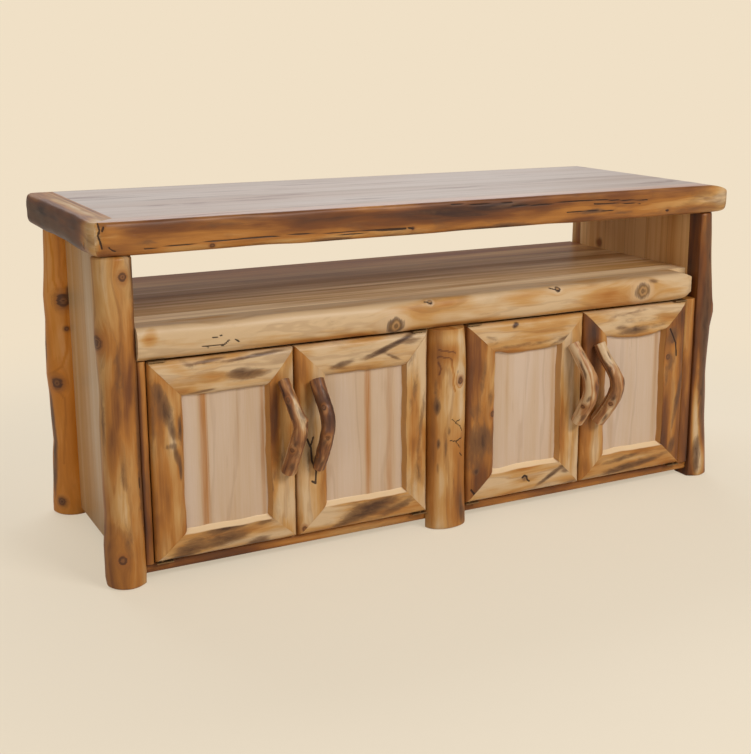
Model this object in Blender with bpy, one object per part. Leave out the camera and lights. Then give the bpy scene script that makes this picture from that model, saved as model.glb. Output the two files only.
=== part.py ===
"""A log television stand: a slab top with log edges on four log posts, an open bay over a shelf,
and two cupboards below it, each closed by a pair of doors on pivot hinges.

X runs along the stand, -Y is the front, Z is up, and the origin is on the floor under the middle."""

import math

import bmesh
import bpy
from mathutils import Matrix, Vector

# Driving sizes, in metres.
LENGTH = 1.606               # over the bulging edges of the top
DEPTH = 0.6445               # from the fronts of the handles to the back edge of the top
HEIGHT = 0.760
GAP = 0.0003                 # left between pieces that touch

# The top.
TOP_BOARD = 0.038
EDGE_LOG_HEIGHT = 0.069
EDGE_LOG_WIDTH = 0.060
LOG_CROWN = 0.022            # how far a log's rounded face stands out from its flats

# The doors and what they stand in.
DOOR_HEIGHT = 0.426
DOOR_THICKNESS = 0.026
DOOR_CLEARANCE = 0.004       # over and under a door, where two doors meet, and beside the middle post
SIDE_CLEARANCE = 0.002       # between a door and a hinge stile
MEETING_LEFT = -0.0030       # where the left pair meets, from the middle of its opening
MEETING_RIGHT = 0.0056
HANDLE_PROUD = 0.068
OUTER_CHAMFER = 0.007
INNER_ROUND = 0.010
PANEL_RECESS = 0.0165
PANEL_THICKNESS = 0.006
GROOVE_DEPTH = 0.008
GROOVE_SLACK = 0.001

# The frame.
SIDE_INSET = 0.0825          # from the end of the top to the inner face of a side panel
SIDE_PANEL_THICKNESS = 0.022
SIDE_PANEL_BOTTOM = 0.018
SHELF_THICKNESS = 0.030
SHELF_RAIL_HEIGHT = 0.0705
SHELF_RAIL_WIDTH = 0.067
SHELF_RAIL_ROUND = 0.030     # of its free right end, in plan
SHELF_RAIL_PAST_DOOR = 0.0143
BACK_PANEL_THICKNESS = 0.0125
REAR_INSET = 0.0105          # from the back edge of the top to the back panel
BOTTOM_RAIL_WIDTH = 0.045
BOTTOM_RAIL_HEIGHT = 0.0225
BOTTOM_RAIL_RECESS = 0.028   # behind the front of the logs
BOTTOM_PANEL_THICKNESS = 0.018
DIVIDER_THICKNESS = 0.018
CENTRE_POST_X = -0.00865     # the stand is hand made, and its middle post is a little off the middle
CENTRE_POST_WIDTH = 0.096
CENTRE_POST_DEPTH = 0.041
HINGE_STILE_LEFT = 0.0182
HINGE_STILE_RIGHT = 0.0342
HINGE_STILE_DEPTH = 0.047
HINGE_STILE_PROUD = 0.010    # in front of the bottom rail
TOP_EDGE_OVERHANG = 0.007    # of the top's front log past the faces of the doors
CLEAT = 0.025
CLEAT_END_GAP = 0.050

# The posts: radius, and how far the centre stands in from the end of the top.
FRONT_POST_INSET_Y = 0.046
REAR_POST_INSET_Y = 0.0445
POST_GROOVE = 0.014          # how far a side panel's end is let into a post
POSTS = {
    "post_front_left": (0.0425, 0.053),
    "post_front_right": (0.0385, 0.056),
    "post_rear_left": (0.0400, 0.053),
    "post_rear_right": (0.0400, 0.053),
}

# The pivot hinges and the catches.
PIVOT_IN = 0.014             # from a door's hinged edge to the axis
PIVOT_BACK = 0.012           # from a door's face to the axis
PIN_RADIUS = 0.003
PIN_LENGTH = 0.0125
BORE_RADIUS = 0.0033
BORE_DEPTH = 0.0102
PLATE_THICKNESS = 0.0024
PLATE_LENGTH = 0.036
PLATE_WIDTH = 0.034
PLATE_MARGIN = 0.008         # of plate in front of the axis
PLATE_END_GAP = 0.001        # of plate short of the door's hinged edge
STRIKE_THICKNESS = 0.001
STRIKE_START = 0.020
STRIKE_LENGTH = 0.024
STRIKE_HEIGHT = 0.012
STRIKE_DROP = 0.0045
CATCH_LENGTH = 0.100
CATCH_DEPTH = 0.025
CATCH_HEIGHT = 0.022

# Each door: the side its hinge is on, its stiles and its rails. The logs differ, so the widths do.
DOORS = {
    "door_1": {"hinge": -1, "hinge_stile": 0.0700, "pull_stile": 0.0637, "top": 0.0775, "bottom": 0.0605},
    "door_2": {"hinge": 1, "hinge_stile": 0.0602, "pull_stile": 0.0714, "top": 0.0725, "bottom": 0.0655},
    "door_3": {"hinge": -1, "hinge_stile": 0.0780, "pull_stile": 0.0683, "top": 0.0705, "bottom": 0.0705},
    "door_4": {"hinge": 1, "hinge_stile": 0.0715, "pull_stile": 0.0717, "top": 0.0675, "bottom": 0.0675},
}

# Each handle is a bent branch, here as points down it: in from the door's meeting edge, out from its
# face, and up from its bottom edge.
HANDLE_RADIUS = 0.015
HANDLE_BOW = HANDLE_PROUD - HANDLE_RADIUS
HANDLE_FOOT = 0.002
HANDLES = {
    "door_1": ((0.031, HANDLE_FOOT, 0.360), (0.027, 0.027, 0.334), (0.020, 0.045, 0.301),
               (0.0125, HANDLE_BOW, 0.272), (0.014, 0.050, 0.247), (0.020, 0.034, 0.206),
               (0.024, HANDLE_FOOT, 0.157)),
    "door_2": ((0.041, HANDLE_FOOT, 0.353), (0.043, 0.028, 0.322), (0.046, 0.048, 0.292),
               (0.0475, HANDLE_BOW, 0.264), (0.045, 0.048, 0.230), (0.043, 0.030, 0.192),
               (0.043, HANDLE_FOOT, 0.155)),
    "door_3": ((0.038, HANDLE_FOOT, 0.358), (0.030, 0.027, 0.329), (0.020, 0.047, 0.295),
               (0.0135, HANDLE_BOW, 0.266), (0.0135, 0.049, 0.236), (0.016, 0.031, 0.200),
               (0.020, HANDLE_FOOT, 0.163)),
    "door_4": ((0.035, HANDLE_FOOT, 0.350), (0.042, 0.027, 0.317), (0.053, 0.048, 0.283),
               (0.059, HANDLE_BOW, 0.256), (0.056, 0.048, 0.228), (0.046, 0.031, 0.192),
               (0.036, HANDLE_FOOT, 0.156)),
}

# Places that follow from the sizes.
END_X = LENGTH / 2
FRONT_Y = -DEPTH / 2
BACK_Y = DEPTH / 2
DOOR_FACE = FRONT_Y + HANDLE_PROUD
DOOR_BACK = DOOR_FACE + DOOR_THICKNESS
LOG_FRONT = DOOR_FACE - TOP_EDGE_OVERHANG
SIDE_X = END_X - SIDE_INSET
PANEL_OUT_X = SIDE_X + SIDE_PANEL_THICKNESS
EDGE_BOTTOM = HEIGHT - EDGE_LOG_HEIGHT
TOP_UNDERSIDE = HEIGHT - TOP_BOARD
FLOOR_TOP = SIDE_PANEL_BOTTOM + BOTTOM_RAIL_HEIGHT
DOOR_BOTTOM = FLOOR_TOP + DOOR_CLEARANCE
DOOR_TOP = DOOR_BOTTOM + DOOR_HEIGHT
SHELF_RAIL_BOTTOM = DOOR_TOP + DOOR_CLEARANCE
SHELF_TOP = SHELF_RAIL_BOTTOM + SHELF_RAIL_HEIGHT
SHELF_UNDERSIDE = SHELF_TOP - SHELF_THICKNESS
SHELF_RAIL_BACK = LOG_FRONT + SHELF_RAIL_WIDTH
RAIL_FACE = LOG_FRONT + BOTTOM_RAIL_RECESS
RAIL_BACK = RAIL_FACE + BOTTOM_RAIL_WIDTH
UPRIGHT_BOTTOM = FLOOR_TOP + GAP
UPRIGHT_TOP = SHELF_RAIL_BOTTOM - GAP
BACK_PANEL_BACK = BACK_Y - REAR_INSET
BACK_PANEL_FRONT = BACK_PANEL_BACK - BACK_PANEL_THICKNESS
DOORWAY_LEFT = -SIDE_X + HINGE_STILE_LEFT
DOORWAY_RIGHT = SIDE_X - HINGE_STILE_RIGHT
POST_LEFT = CENTRE_POST_X - CENTRE_POST_WIDTH / 2
POST_RIGHT = CENTRE_POST_X + CENTRE_POST_WIDTH / 2
LEFT_PAIR_MEETS = (DOORWAY_LEFT + POST_LEFT) / 2 + MEETING_LEFT
RIGHT_PAIR_MEETS = (POST_RIGHT + DOORWAY_RIGHT) / 2 + MEETING_RIGHT

WOOD = {
    "log": (0.60, 0.37, 0.17),
    "board": (0.72, 0.50, 0.28),
    "branch": (0.36, 0.18, 0.09),
}
UP_RAIL = (math.pi / 2, 0.0, math.pi / 2)     # an outline's X, Y and thickness lie along Y, Z and X
UPRIGHT = (math.pi / 2, 0.0, 0.0)             # an outline's X, Y and thickness lie along X, Z and -Y
FLAT = (0.0, 0.0, 0.0)


def clear_scene():
    for thing in list(bpy.data.objects):
        bpy.data.objects.remove(thing, do_unlink=True)


def new_collection(name):
    collection = bpy.data.collections.new(name)
    bpy.context.scene.collection.children.link(collection)
    return collection


clear_scene()
PARTS = new_collection("log_tv_stand")
CUTTERS = new_collection("log_tv_stand_cutters")


# How a piece is finished and filed.

def finish(part, colour, roughness, metallic=0.0):
    """Gives a piece its own material and files it with the parts."""
    material = bpy.data.materials.new(part.name + "_finish")
    material.use_nodes = True
    shader = material.node_tree.nodes["Principled BSDF"]
    shader.inputs["Base Color"].default_value = (*colour, 1.0)
    shader.inputs["Roughness"].default_value = roughness
    shader.inputs["Metallic"].default_value = metallic
    part.data.materials.clear()
    part.data.materials.append(material)
    PARTS.objects.link(part)
    return part


def log(part):
    return finish(part, WOOD["log"], 0.42)


def board(part):
    return finish(part, WOOD["board"], 0.38)


def steel(part):
    return finish(part, (0.55, 0.55, 0.56), 0.35, 1.0)


def as_cutter(shape):
    """Files a shape as one that only cuts."""
    shape.hide_render = True
    shape.display_type = "WIRE"
    CUTTERS.objects.link(shape)
    return shape


# The shapes the pieces are made from.

def box(name, low, high):
    size = Vector(high) - Vector(low)
    mesh = bpy.data.meshes.new(name)
    cube = bmesh.new()
    bmesh.ops.create_cube(cube, size=1.0, matrix=Matrix.Diagonal((*size, 1.0)))
    cube.to_mesh(mesh)
    cube.free()
    part = bpy.data.objects.new(name, mesh)
    part.location = (Vector(low) + Vector(high)) / 2
    return part


def cylinder(name, radius, x, y, low, high, sides):
    mesh = bpy.data.meshes.new(name)
    round_bar = bmesh.new()
    bmesh.ops.create_cone(round_bar, cap_ends=True, segments=sides, radius1=radius, radius2=radius,
                          depth=high - low)
    round_bar.to_mesh(mesh)
    round_bar.free()
    mesh.shade_smooth()
    mesh.set_sharp_from_angle(angle=math.radians(40))
    part = bpy.data.objects.new(name, mesh)
    part.location = (x, y, (low + high) / 2)
    return part


def solid_from(curve_object, name):
    """Turns a curve object into a closed mesh object in the same place."""
    bpy.context.scene.collection.objects.link(curve_object)
    bpy.context.view_layer.update()
    seen = curve_object.evaluated_get(bpy.context.evaluated_depsgraph_get())
    mesh = bpy.data.meshes.new_from_object(seen)
    mesh.name = name
    welded = bmesh.new()
    welded.from_mesh(mesh)
    bmesh.ops.remove_doubles(welded, verts=welded.verts, dist=0.00001)
    bmesh.ops.recalc_face_normals(welded, faces=welded.faces)
    welded.to_mesh(mesh)
    welded.free()
    part = bpy.data.objects.new(name, mesh)
    part.matrix_world = curve_object.matrix_world.copy()
    bpy.data.objects.remove(curve_object, do_unlink=True)
    return part


def prism(name, outline, thickness, location, rotation=FLAT):
    """A flat outline with a thickness, centred on its location."""
    curve = bpy.data.curves.new(name, "CURVE")
    curve.dimensions = "2D"
    curve.fill_mode = "BOTH"
    curve.extrude = thickness / 2
    spline = curve.splines.new("POLY")
    spline.points.add(len(outline) - 1)
    for point, (along, across) in zip(spline.points, outline):
        point.co = (along, across, 0.0, 1.0)
    spline.use_cyclic_u = True
    shape = bpy.data.objects.new(name + "_outline", curve)
    shape.location = location
    shape.rotation_euler = rotation
    return solid_from(shape, name)


def cut(part, cutter, operation="DIFFERENCE"):
    modifier = part.modifiers.new(cutter.name, "BOOLEAN")
    modifier.operation = operation
    modifier.solver = "EXACT"
    modifier.object = cutter
    return part


def half_log(depth, height, crown):
    """The outline of a log sawn flat above, below and behind, with its round face at -X and its back
    at X = 0. Y runs from the underside up to the height."""
    waist = height * 0.56
    steps = 8
    outline = [(0.0, 0.0), (0.0, height)]
    for step in range(steps + 1):
        turn = math.pi / 2 + math.pi * step / steps
        reach = height - waist if turn <= math.pi else waist
        outline.append((-depth + crown + crown * math.cos(turn), waist + reach * math.sin(turn)))
    return outline


# The top: a board panel framed at the front and both ends by log edges, mitred at the front corners.

def plan_cutter(name, outline, middle):
    """A plan outline as a cutter, 0.1 m above and below a middle height."""
    return as_cutter(prism(name, outline, 0.2, (0.0, 0.0, middle)))


def mitre_waste(name, side, in_front):
    """All that lies in front of, or behind, the mitre line of one front corner of the top."""
    inner_x = END_X - EDGE_LOG_WIDTH
    inner_y = LOG_FRONT + EDGE_LOG_WIDTH
    past = 0.02
    shift = GAP / math.sqrt(2) if in_front else -GAP / math.sqrt(2)
    far = LOG_FRONT - 0.1 if in_front else inner_y + 0.1
    near_end = side * (inner_x - past)
    far_end = side * (END_X + past)
    outline = [(near_end, inner_y + past + shift), (far_end, LOG_FRONT - past + shift),
               (far_end, far), (near_end, far)]
    return plan_cutter(name, outline, HEIGHT)


def make_top():
    inner_x = END_X - EDGE_LOG_WIDTH
    inner_y = LOG_FRONT + EDGE_LOG_WIDTH
    profile = half_log(EDGE_LOG_WIDTH, EDGE_LOG_HEIGHT, LOG_CROWN)
    board(box("top_panel", (-inner_x + GAP, inner_y + GAP, TOP_UNDERSIDE), (inner_x - GAP, BACK_Y, HEIGHT)))

    front = prism("top_edge_front", profile, LENGTH, (0.0, inner_y, EDGE_BOTTOM), UP_RAIL)
    for name, side in (("front_mitre_left", -1), ("front_mitre_right", 1)):
        cut(front, mitre_waste(name, side, in_front=False))
    log(front)
    for name, side in (("top_edge_left", -1), ("top_edge_right", 1)):
        outline = [(-side * across, up) for across, up in profile]
        middle = (side * inner_x, (BACK_Y + LOG_FRONT) / 2, EDGE_BOTTOM)
        edge = prism(name, outline, BACK_Y - LOG_FRONT, middle, UPRIGHT)
        log(cut(edge, mitre_waste(name + "_mitre", side, in_front=True)))


# The posts, and the side panels let into them.

def make_posts():
    for name, (radius, inset) in POSTS.items():
        side = -1 if name.endswith("left") else 1
        front = "front" in name
        x = side * (END_X - inset)
        y = LOG_FRONT + FRONT_POST_INSET_Y if front else BACK_Y - REAR_POST_INSET_Y
        post = cylinder(name, radius, x, y, 0.0, EDGE_BOTTOM - GAP, 28)
        inner = (side * (SIDE_X - 0.1), side * (SIDE_X + GAP / 2))
        flat = box(name + "_flat", (min(inner), y - 0.1, -0.05), (max(inner), y + 0.1, HEIGHT))
        cut(post, as_cutter(flat))
        towards = 1 if front else -1
        groove_end = y + towards * POST_GROOVE
        groove = (groove_end, groove_end + towards * 0.1)
        across = (side * (SIDE_X - 0.1), side * (PANEL_OUT_X + GAP))
        rebate = box(name + "_groove", (min(across), min(groove), -0.05), (max(across), max(groove), HEIGHT))
        cut(post, as_cutter(rebate))
        log(post)


def make_sides():
    front = LOG_FRONT + FRONT_POST_INSET_Y + POST_GROOVE + GAP
    back = BACK_Y - REAR_POST_INSET_Y - POST_GROOVE - GAP
    for name, side in (("side_panel_left", -1), ("side_panel_right", 1)):
        across = (side * SIDE_X, side * PANEL_OUT_X)
        board(box(name, (min(across), front, SIDE_PANEL_BOTTOM), (max(across), back, TOP_UNDERSIDE - GAP)))
    for name, side in (("top_cleat_left", -1), ("top_cleat_right", 1)):
        across = (side * (SIDE_X - CLEAT), side * (SIDE_X - GAP))
        low = (min(across), front + CLEAT_END_GAP, TOP_UNDERSIDE - GAP - CLEAT)
        board(box(name, low, (max(across), back - CLEAT_END_GAP, TOP_UNDERSIDE - GAP)))


# The shelf over the cupboards, and its log front rail.

def make_shelf():
    inner = SIDE_X - GAP
    low = (-inner, SHELF_RAIL_BACK + GAP, SHELF_UNDERSIDE)
    board(box("shelf_panel", low, (inner, BACK_PANEL_BACK, SHELF_TOP)))

    right_end = DOORWAY_RIGHT + SHELF_RAIL_PAST_DOOR
    profile = half_log(SHELF_RAIL_WIDTH, SHELF_RAIL_HEIGHT, LOG_CROWN)
    middle = ((right_end - inner) / 2, SHELF_RAIL_BACK, SHELF_RAIL_BOTTOM)
    rail = prism("shelf_front_rail", profile, right_end + inner, middle, UP_RAIL)
    past = 0.01
    start = right_end - SHELF_RAIL_ROUND
    waste = [(right_end + past, LOG_FRONT + SHELF_RAIL_ROUND), (right_end + past, LOG_FRONT - past),
             (start, LOG_FRONT - past)]
    steps = 6
    for step in range(steps + 1):
        turn = math.pi / 2 * step / steps
        waste.append((start + SHELF_RAIL_ROUND * math.sin(turn),
                      LOG_FRONT + SHELF_RAIL_ROUND * (1 - math.cos(turn))))
    log(cut(rail, plan_cutter("shelf_rail_end", waste, SHELF_RAIL_BOTTOM)))


# The cupboards' fixed parts.

def make_carcase():
    inner = SIDE_X - GAP
    board(box("bottom_front_rail", (-inner, RAIL_FACE, SIDE_PANEL_BOTTOM), (inner, RAIL_BACK, FLOOR_TOP)))
    low = (-inner, RAIL_BACK + GAP, FLOOR_TOP - BOTTOM_PANEL_THICKNESS)
    board(box("bottom_panel", low, (inner, BACK_PANEL_FRONT - GAP, FLOOR_TOP)))
    high = (inner, BACK_PANEL_BACK, SHELF_UNDERSIDE - GAP)
    board(box("back_panel", (-inner, BACK_PANEL_FRONT, SIDE_PANEL_BOTTOM), high))

    board(box("centre_stile", (POST_LEFT, RAIL_FACE, UPRIGHT_BOTTOM), (POST_RIGHT, RAIL_BACK, UPRIGHT_TOP)))
    half_width = DIVIDER_THICKNESS / 2
    front = max(RAIL_BACK, SHELF_RAIL_BACK) + GAP
    low = (CENTRE_POST_X - half_width, front, UPRIGHT_BOTTOM)
    high = (CENTRE_POST_X + half_width, BACK_PANEL_FRONT - GAP, SHELF_UNDERSIDE - GAP)
    board(box("centre_divider", low, high))

    front = RAIL_FACE - HINGE_STILE_PROUD
    back = front + HINGE_STILE_DEPTH
    hinge_stiles = (("hinge_stile_left", -1, DOORWAY_LEFT), ("hinge_stile_right", 1, DOORWAY_RIGHT))
    for name, side, edge in hinge_stiles:
        across = (edge, side * inner)
        board(box(name, (min(across), front, UPRIGHT_BOTTOM), (max(across), back, UPRIGHT_TOP)))

    outline = []
    steps = 14
    for step in range(steps + 1):
        turn = math.pi + math.pi * step / steps
        outline.append((CENTRE_POST_WIDTH / 2 * math.cos(turn), CENTRE_POST_DEPTH * math.sin(turn)))
    middle = (CENTRE_POST_X, RAIL_FACE - GAP, UPRIGHT_TOP / 2)
    log(prism("centre_post", outline, UPRIGHT_TOP, middle))


# The doors: mitred half-log frames round a board panel, with a branch for a handle.

def member_outline(width):
    """A stile's section: X runs in from the door's outer edge, and Y back from its face. The inner edge
    is grooved for the panel."""
    groove_front = PANEL_RECESS - GAP
    groove_back = PANEL_RECESS + PANEL_THICKNESS + GAP
    arc = [(width - INNER_ROUND + INNER_ROUND * math.sin(turn), INNER_ROUND - INNER_ROUND * math.cos(turn))
           for turn in (0.0, math.pi / 8, math.pi / 4, math.pi * 3 / 8, math.pi / 2)]
    return ([(0.0, DOOR_THICKNESS), (0.0, OUTER_CHAMFER), (OUTER_CHAMFER, 0.0)] + arc
            + [(width, groove_front), (width - GROOVE_DEPTH, groove_front),
               (width - GROOVE_DEPTH, groove_back), (width, groove_back), (width, DOOR_THICKNESS)])


def mitred(part, name, corners):
    """Keeps the part of a member inside a front view outline."""
    middle = (0.0, (DOOR_FACE + DOOR_BACK) / 2, 0.0)
    return cut(part, as_cutter(prism(name + "_mitre", corners, 0.08, middle, UPRIGHT)), "INTERSECT")


def slide_towards(corners, gap):
    """Shrinks a mitred member's outline across its two slanted ends by the gap."""
    outer_a, outer_b, inner_b, inner_a = (Vector(corner) for corner in corners)
    along = (outer_b - outer_a).normalized()
    reach_a = gap * (inner_a - outer_a).length / abs((inner_a - outer_a).cross(along))
    reach_b = gap * (inner_b - outer_b).length / abs((inner_b - outer_b).cross(along))
    shift_a = along * reach_a
    shift_b = along * reach_b
    moved = (outer_a + shift_a, outer_b - shift_b, inner_b - shift_b, inner_a + shift_a)
    return [tuple(corner) for corner in moved]


def make_door(name, edges, sizes):
    left, right = edges
    hinge = sizes["hinge"]
    left_stile = sizes["hinge_stile"] if hinge < 0 else sizes["pull_stile"]
    right_stile = sizes["pull_stile"] if hinge < 0 else sizes["hinge_stile"]
    top = DOOR_TOP - sizes["top"]
    bottom = DOOR_BOTTOM + sizes["bottom"]
    inner_left = left + left_stile
    inner_right = right - right_stile
    middle_x = (left + right) / 2
    middle_z = (DOOR_TOP + DOOR_BOTTOM) / 2
    hinge_edge = left if hinge < 0 else right
    pull_edge = right if hinge < 0 else left
    axis_x = hinge_edge - hinge * PIVOT_IN
    axis_y = DOOR_FACE + PIVOT_BACK

    pivot = bpy.data.objects.new(name + "_hinge_axis", None)
    pivot.location = (axis_x, axis_y, DOOR_BOTTOM)
    PARTS.objects.link(pivot)
    pieces = []

    rail_names = (("rail_top", sizes["top"], DOOR_TOP, -1), ("rail_bottom", sizes["bottom"], DOOR_BOTTOM, 1))
    for piece, width, edge, inwards in rail_names:
        section = [(back, inwards * across) for across, back in member_outline(width)]
        rail = prism(f"{name}_{piece}", section, right - left, (middle_x, DOOR_FACE, edge), UP_RAIL)
        inner_edge = edge + inwards * width
        corners = [(left, edge), (right, edge), (inner_right, inner_edge), (inner_left, inner_edge)]
        mitred(rail, rail.name, slide_towards(corners, GAP / 2))
        inside = edge + inwards * BORE_DEPTH
        outside = edge - inwards * 0.01
        bore = cylinder(rail.name + "_bore", BORE_RADIUS, axis_x, axis_y,
                        min(inside, outside), max(inside, outside), 16)
        cut(rail, as_cutter(bore))
        pieces.append(log(rail))

    stile_names = {-1: ("stile_hinge" if hinge < 0 else "stile_pull", left, left_stile, inner_left),
                   1: ("stile_pull" if hinge < 0 else "stile_hinge", right, right_stile, inner_right)}
    for side, (piece, edge, width, inner_edge) in stile_names.items():
        section = [(-side * across, back) for across, back in member_outline(width)]
        stile = prism(f"{name}_{piece}", section, DOOR_TOP - DOOR_BOTTOM, (edge, DOOR_FACE, middle_z))
        corners = [(edge, DOOR_BOTTOM), (edge, DOOR_TOP), (inner_edge, top), (inner_edge, bottom)]
        mitred(stile, stile.name, slide_towards(corners, GAP / 2))
        pieces.append(log(stile))

    reach = GROOVE_DEPTH - GROOVE_SLACK
    low = (inner_left - reach, DOOR_FACE + PANEL_RECESS, bottom - reach)
    high = (inner_right + reach, DOOR_FACE + PANEL_RECESS + PANEL_THICKNESS, top + reach)
    pieces.append(board(box(name + "_panel", low, high)))
    pieces.append(make_handle(name, pull_edge, hinge))

    strike_edge = pull_edge + hinge * STRIKE_START
    across = (strike_edge, strike_edge + hinge * STRIKE_LENGTH)
    low = (min(across), DOOR_BACK + GAP, DOOR_TOP - STRIKE_DROP - STRIKE_HEIGHT)
    high = (max(across), DOOR_BACK + GAP + STRIKE_THICKNESS, DOOR_TOP - STRIKE_DROP)
    pieces.append(steel(box(name + "_strike", low, high)))

    for piece in pieces:
        piece.parent = pivot
        piece.location = piece.location - pivot.location
    make_pivots(name, hinge, axis_x, axis_y)


def make_handle(name, pull_edge, hinge):
    """A bowed branch whose two feet are sawn flat to lie on the door's face."""
    curve = bpy.data.curves.new(name + "_handle", "CURVE")
    curve.dimensions = "3D"
    curve.bevel_depth = HANDLE_RADIUS
    curve.bevel_resolution = 2
    curve.use_fill_caps = True
    spline = curve.splines.new("POLY")
    spline.points.add(len(HANDLES[name]) - 1)
    for point, (inwards, out, up) in zip(spline.points, HANDLES[name]):
        point.co = (pull_edge + hinge * inwards, DOOR_FACE - out, DOOR_BOTTOM + up, 1.0)
    shape = bpy.data.objects.new(name + "_handle_line", curve)
    handle = solid_from(shape, name + "_handle")
    low = (pull_edge - 0.2, DOOR_FACE - GAP, 0.0)
    sawn = box(name + "_handle_feet", low, (pull_edge + 0.2, DOOR_BACK + 0.05, HEIGHT))
    cut(handle, as_cutter(sawn))
    return finish(handle, WOOD["branch"], 0.40)


def make_pivots(name, hinge, axis_x, axis_y):
    """A plate over the door and one under it, each with a pin that turns in the door's rail."""
    outer = axis_x + hinge * (PIVOT_IN - PLATE_END_GAP)
    across = (outer, outer - hinge * PLATE_LENGTH)
    front = axis_y - PLATE_MARGIN
    ends = (("pivot_top", SHELF_RAIL_BOTTOM - GAP, -1), ("pivot_bottom", FLOOR_TOP + GAP, 1))
    for piece, seat, towards in ends:
        up = (seat, seat + towards * PLATE_THICKNESS)
        high = (max(across), front + PLATE_WIDTH, max(up))
        plate = box(f"{name}_{piece}", (min(across), front, min(up)), high)
        reach = (seat + towards * PLATE_THICKNESS / 2, seat + towards * PIN_LENGTH)
        pin = cylinder(plate.name + "_pin", PIN_RADIUS, axis_x, axis_y, min(reach), max(reach), 16)
        steel(cut(plate, as_cutter(pin), "UNION"))


def make_doors():
    meeting = DOOR_CLEARANCE / 2
    edges = {
        "door_1": (DOORWAY_LEFT + SIDE_CLEARANCE, LEFT_PAIR_MEETS - meeting),
        "door_2": (LEFT_PAIR_MEETS + meeting, POST_LEFT - DOOR_CLEARANCE),
        "door_3": (POST_RIGHT + DOOR_CLEARANCE, RIGHT_PAIR_MEETS - meeting),
        "door_4": (RIGHT_PAIR_MEETS + meeting, DOORWAY_RIGHT - SIDE_CLEARANCE),
    }
    for name, sizes in DOORS.items():
        make_door(name, edges[name], sizes)
    for name, meets in (("catch_left", LEFT_PAIR_MEETS), ("catch_right", RIGHT_PAIR_MEETS)):
        front = DOOR_BACK + GAP + STRIKE_THICKNESS + GAP
        low = (meets - CATCH_LENGTH / 2, front, UPRIGHT_TOP - CATCH_HEIGHT)
        high = (meets + CATCH_LENGTH / 2, front + CATCH_DEPTH, UPRIGHT_TOP)
        finish(box(name, low, high), (0.10, 0.07, 0.05), 0.5)


make_top()
make_posts()
make_sides()
make_shelf()
make_carcase()
make_doors()
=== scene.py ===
"""The log television stand in its finished woods: peeled aspen logs, glued boards and branch handles."""

import itertools
import math

import bmesh
import bpy
import numpy as np
from mathutils import Matrix, Vector


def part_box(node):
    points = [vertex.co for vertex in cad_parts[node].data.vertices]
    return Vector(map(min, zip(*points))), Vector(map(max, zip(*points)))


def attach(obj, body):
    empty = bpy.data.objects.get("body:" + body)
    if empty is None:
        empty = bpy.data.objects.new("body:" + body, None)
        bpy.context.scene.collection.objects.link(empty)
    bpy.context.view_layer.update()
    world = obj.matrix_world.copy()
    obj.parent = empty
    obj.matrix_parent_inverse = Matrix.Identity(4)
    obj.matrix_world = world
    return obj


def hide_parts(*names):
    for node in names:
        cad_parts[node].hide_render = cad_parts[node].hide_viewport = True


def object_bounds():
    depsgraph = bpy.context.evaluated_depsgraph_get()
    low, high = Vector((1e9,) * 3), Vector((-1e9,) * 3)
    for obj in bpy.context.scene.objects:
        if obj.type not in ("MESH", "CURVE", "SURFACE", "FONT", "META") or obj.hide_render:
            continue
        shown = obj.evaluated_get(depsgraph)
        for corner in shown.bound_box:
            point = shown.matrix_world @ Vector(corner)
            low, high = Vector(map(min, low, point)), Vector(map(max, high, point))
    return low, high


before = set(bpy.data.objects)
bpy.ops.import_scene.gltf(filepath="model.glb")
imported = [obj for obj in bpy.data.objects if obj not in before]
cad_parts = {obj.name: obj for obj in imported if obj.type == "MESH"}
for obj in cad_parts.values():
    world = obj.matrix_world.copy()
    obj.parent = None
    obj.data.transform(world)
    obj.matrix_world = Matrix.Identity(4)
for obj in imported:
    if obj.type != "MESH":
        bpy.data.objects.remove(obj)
cad_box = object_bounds()


# ---------------------------------------------------------------------------------------------------
# The four corner posts. Each is a peeled aspen log, lacquered, sawn flat on its inner side and let in
# beside the side panels. They carry the log edges of the top.

def wander(points, size, seed=0):
    """Smooth values between about -1 and 1 that wander over the given size, the same on every run."""
    place = np.asarray(points, float) / size + 13.7 * seed + 101.3
    cell = np.floor(place).astype(np.int64)
    part = place - cell
    part = part * part * (3 - 2 * part)
    total = 0.0
    for corner in itertools.product((0, 1), repeat=3):
        at = cell + np.array(corner)
        mixed = (at[..., 0] * 73856093) ^ (at[..., 1] * 19349663) ^ (at[..., 2] * 83492791)
        mixed = ((mixed ^ (mixed >> 13)) * 1274126177) & 0x7FFFFFFF
        value = ((mixed ^ (mixed >> 15)) & 0xFFFF) / 32767.5 - 1
        share = np.prod(np.where(np.array(corner) == 1, part, 1 - part), axis=-1)
        total = total + value * share
    return total


def smudges(along, across, marks):
    """How deep each point lies in a set of oval marks: middle, length, width, lean and strength."""
    clean = np.ones_like(along)
    for middle_along, middle_across, length, width, lean, strength in marks:
        turn = math.radians(lean)
        u = (along - middle_along) * math.cos(turn) + (across - middle_across) * math.sin(turn)
        v = (across - middle_across) * math.cos(turn) - (along - middle_along) * math.sin(turn)
        clean = clean * (1 - strength * np.exp(-((u / length) ** 2 + (v / width) ** 2) ** 1.3))
    return 1 - clean


def shades(along, across, marks):
    """Soft patches that are browner (above 0) or paler (below 0) than the rest."""
    total = np.zeros_like(along)
    for mark in marks:
        total = total + math.copysign(1.0, mark[5]) * smudges(along, across, [(*mark[:5], abs(mark[5]))])
    return total


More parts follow.
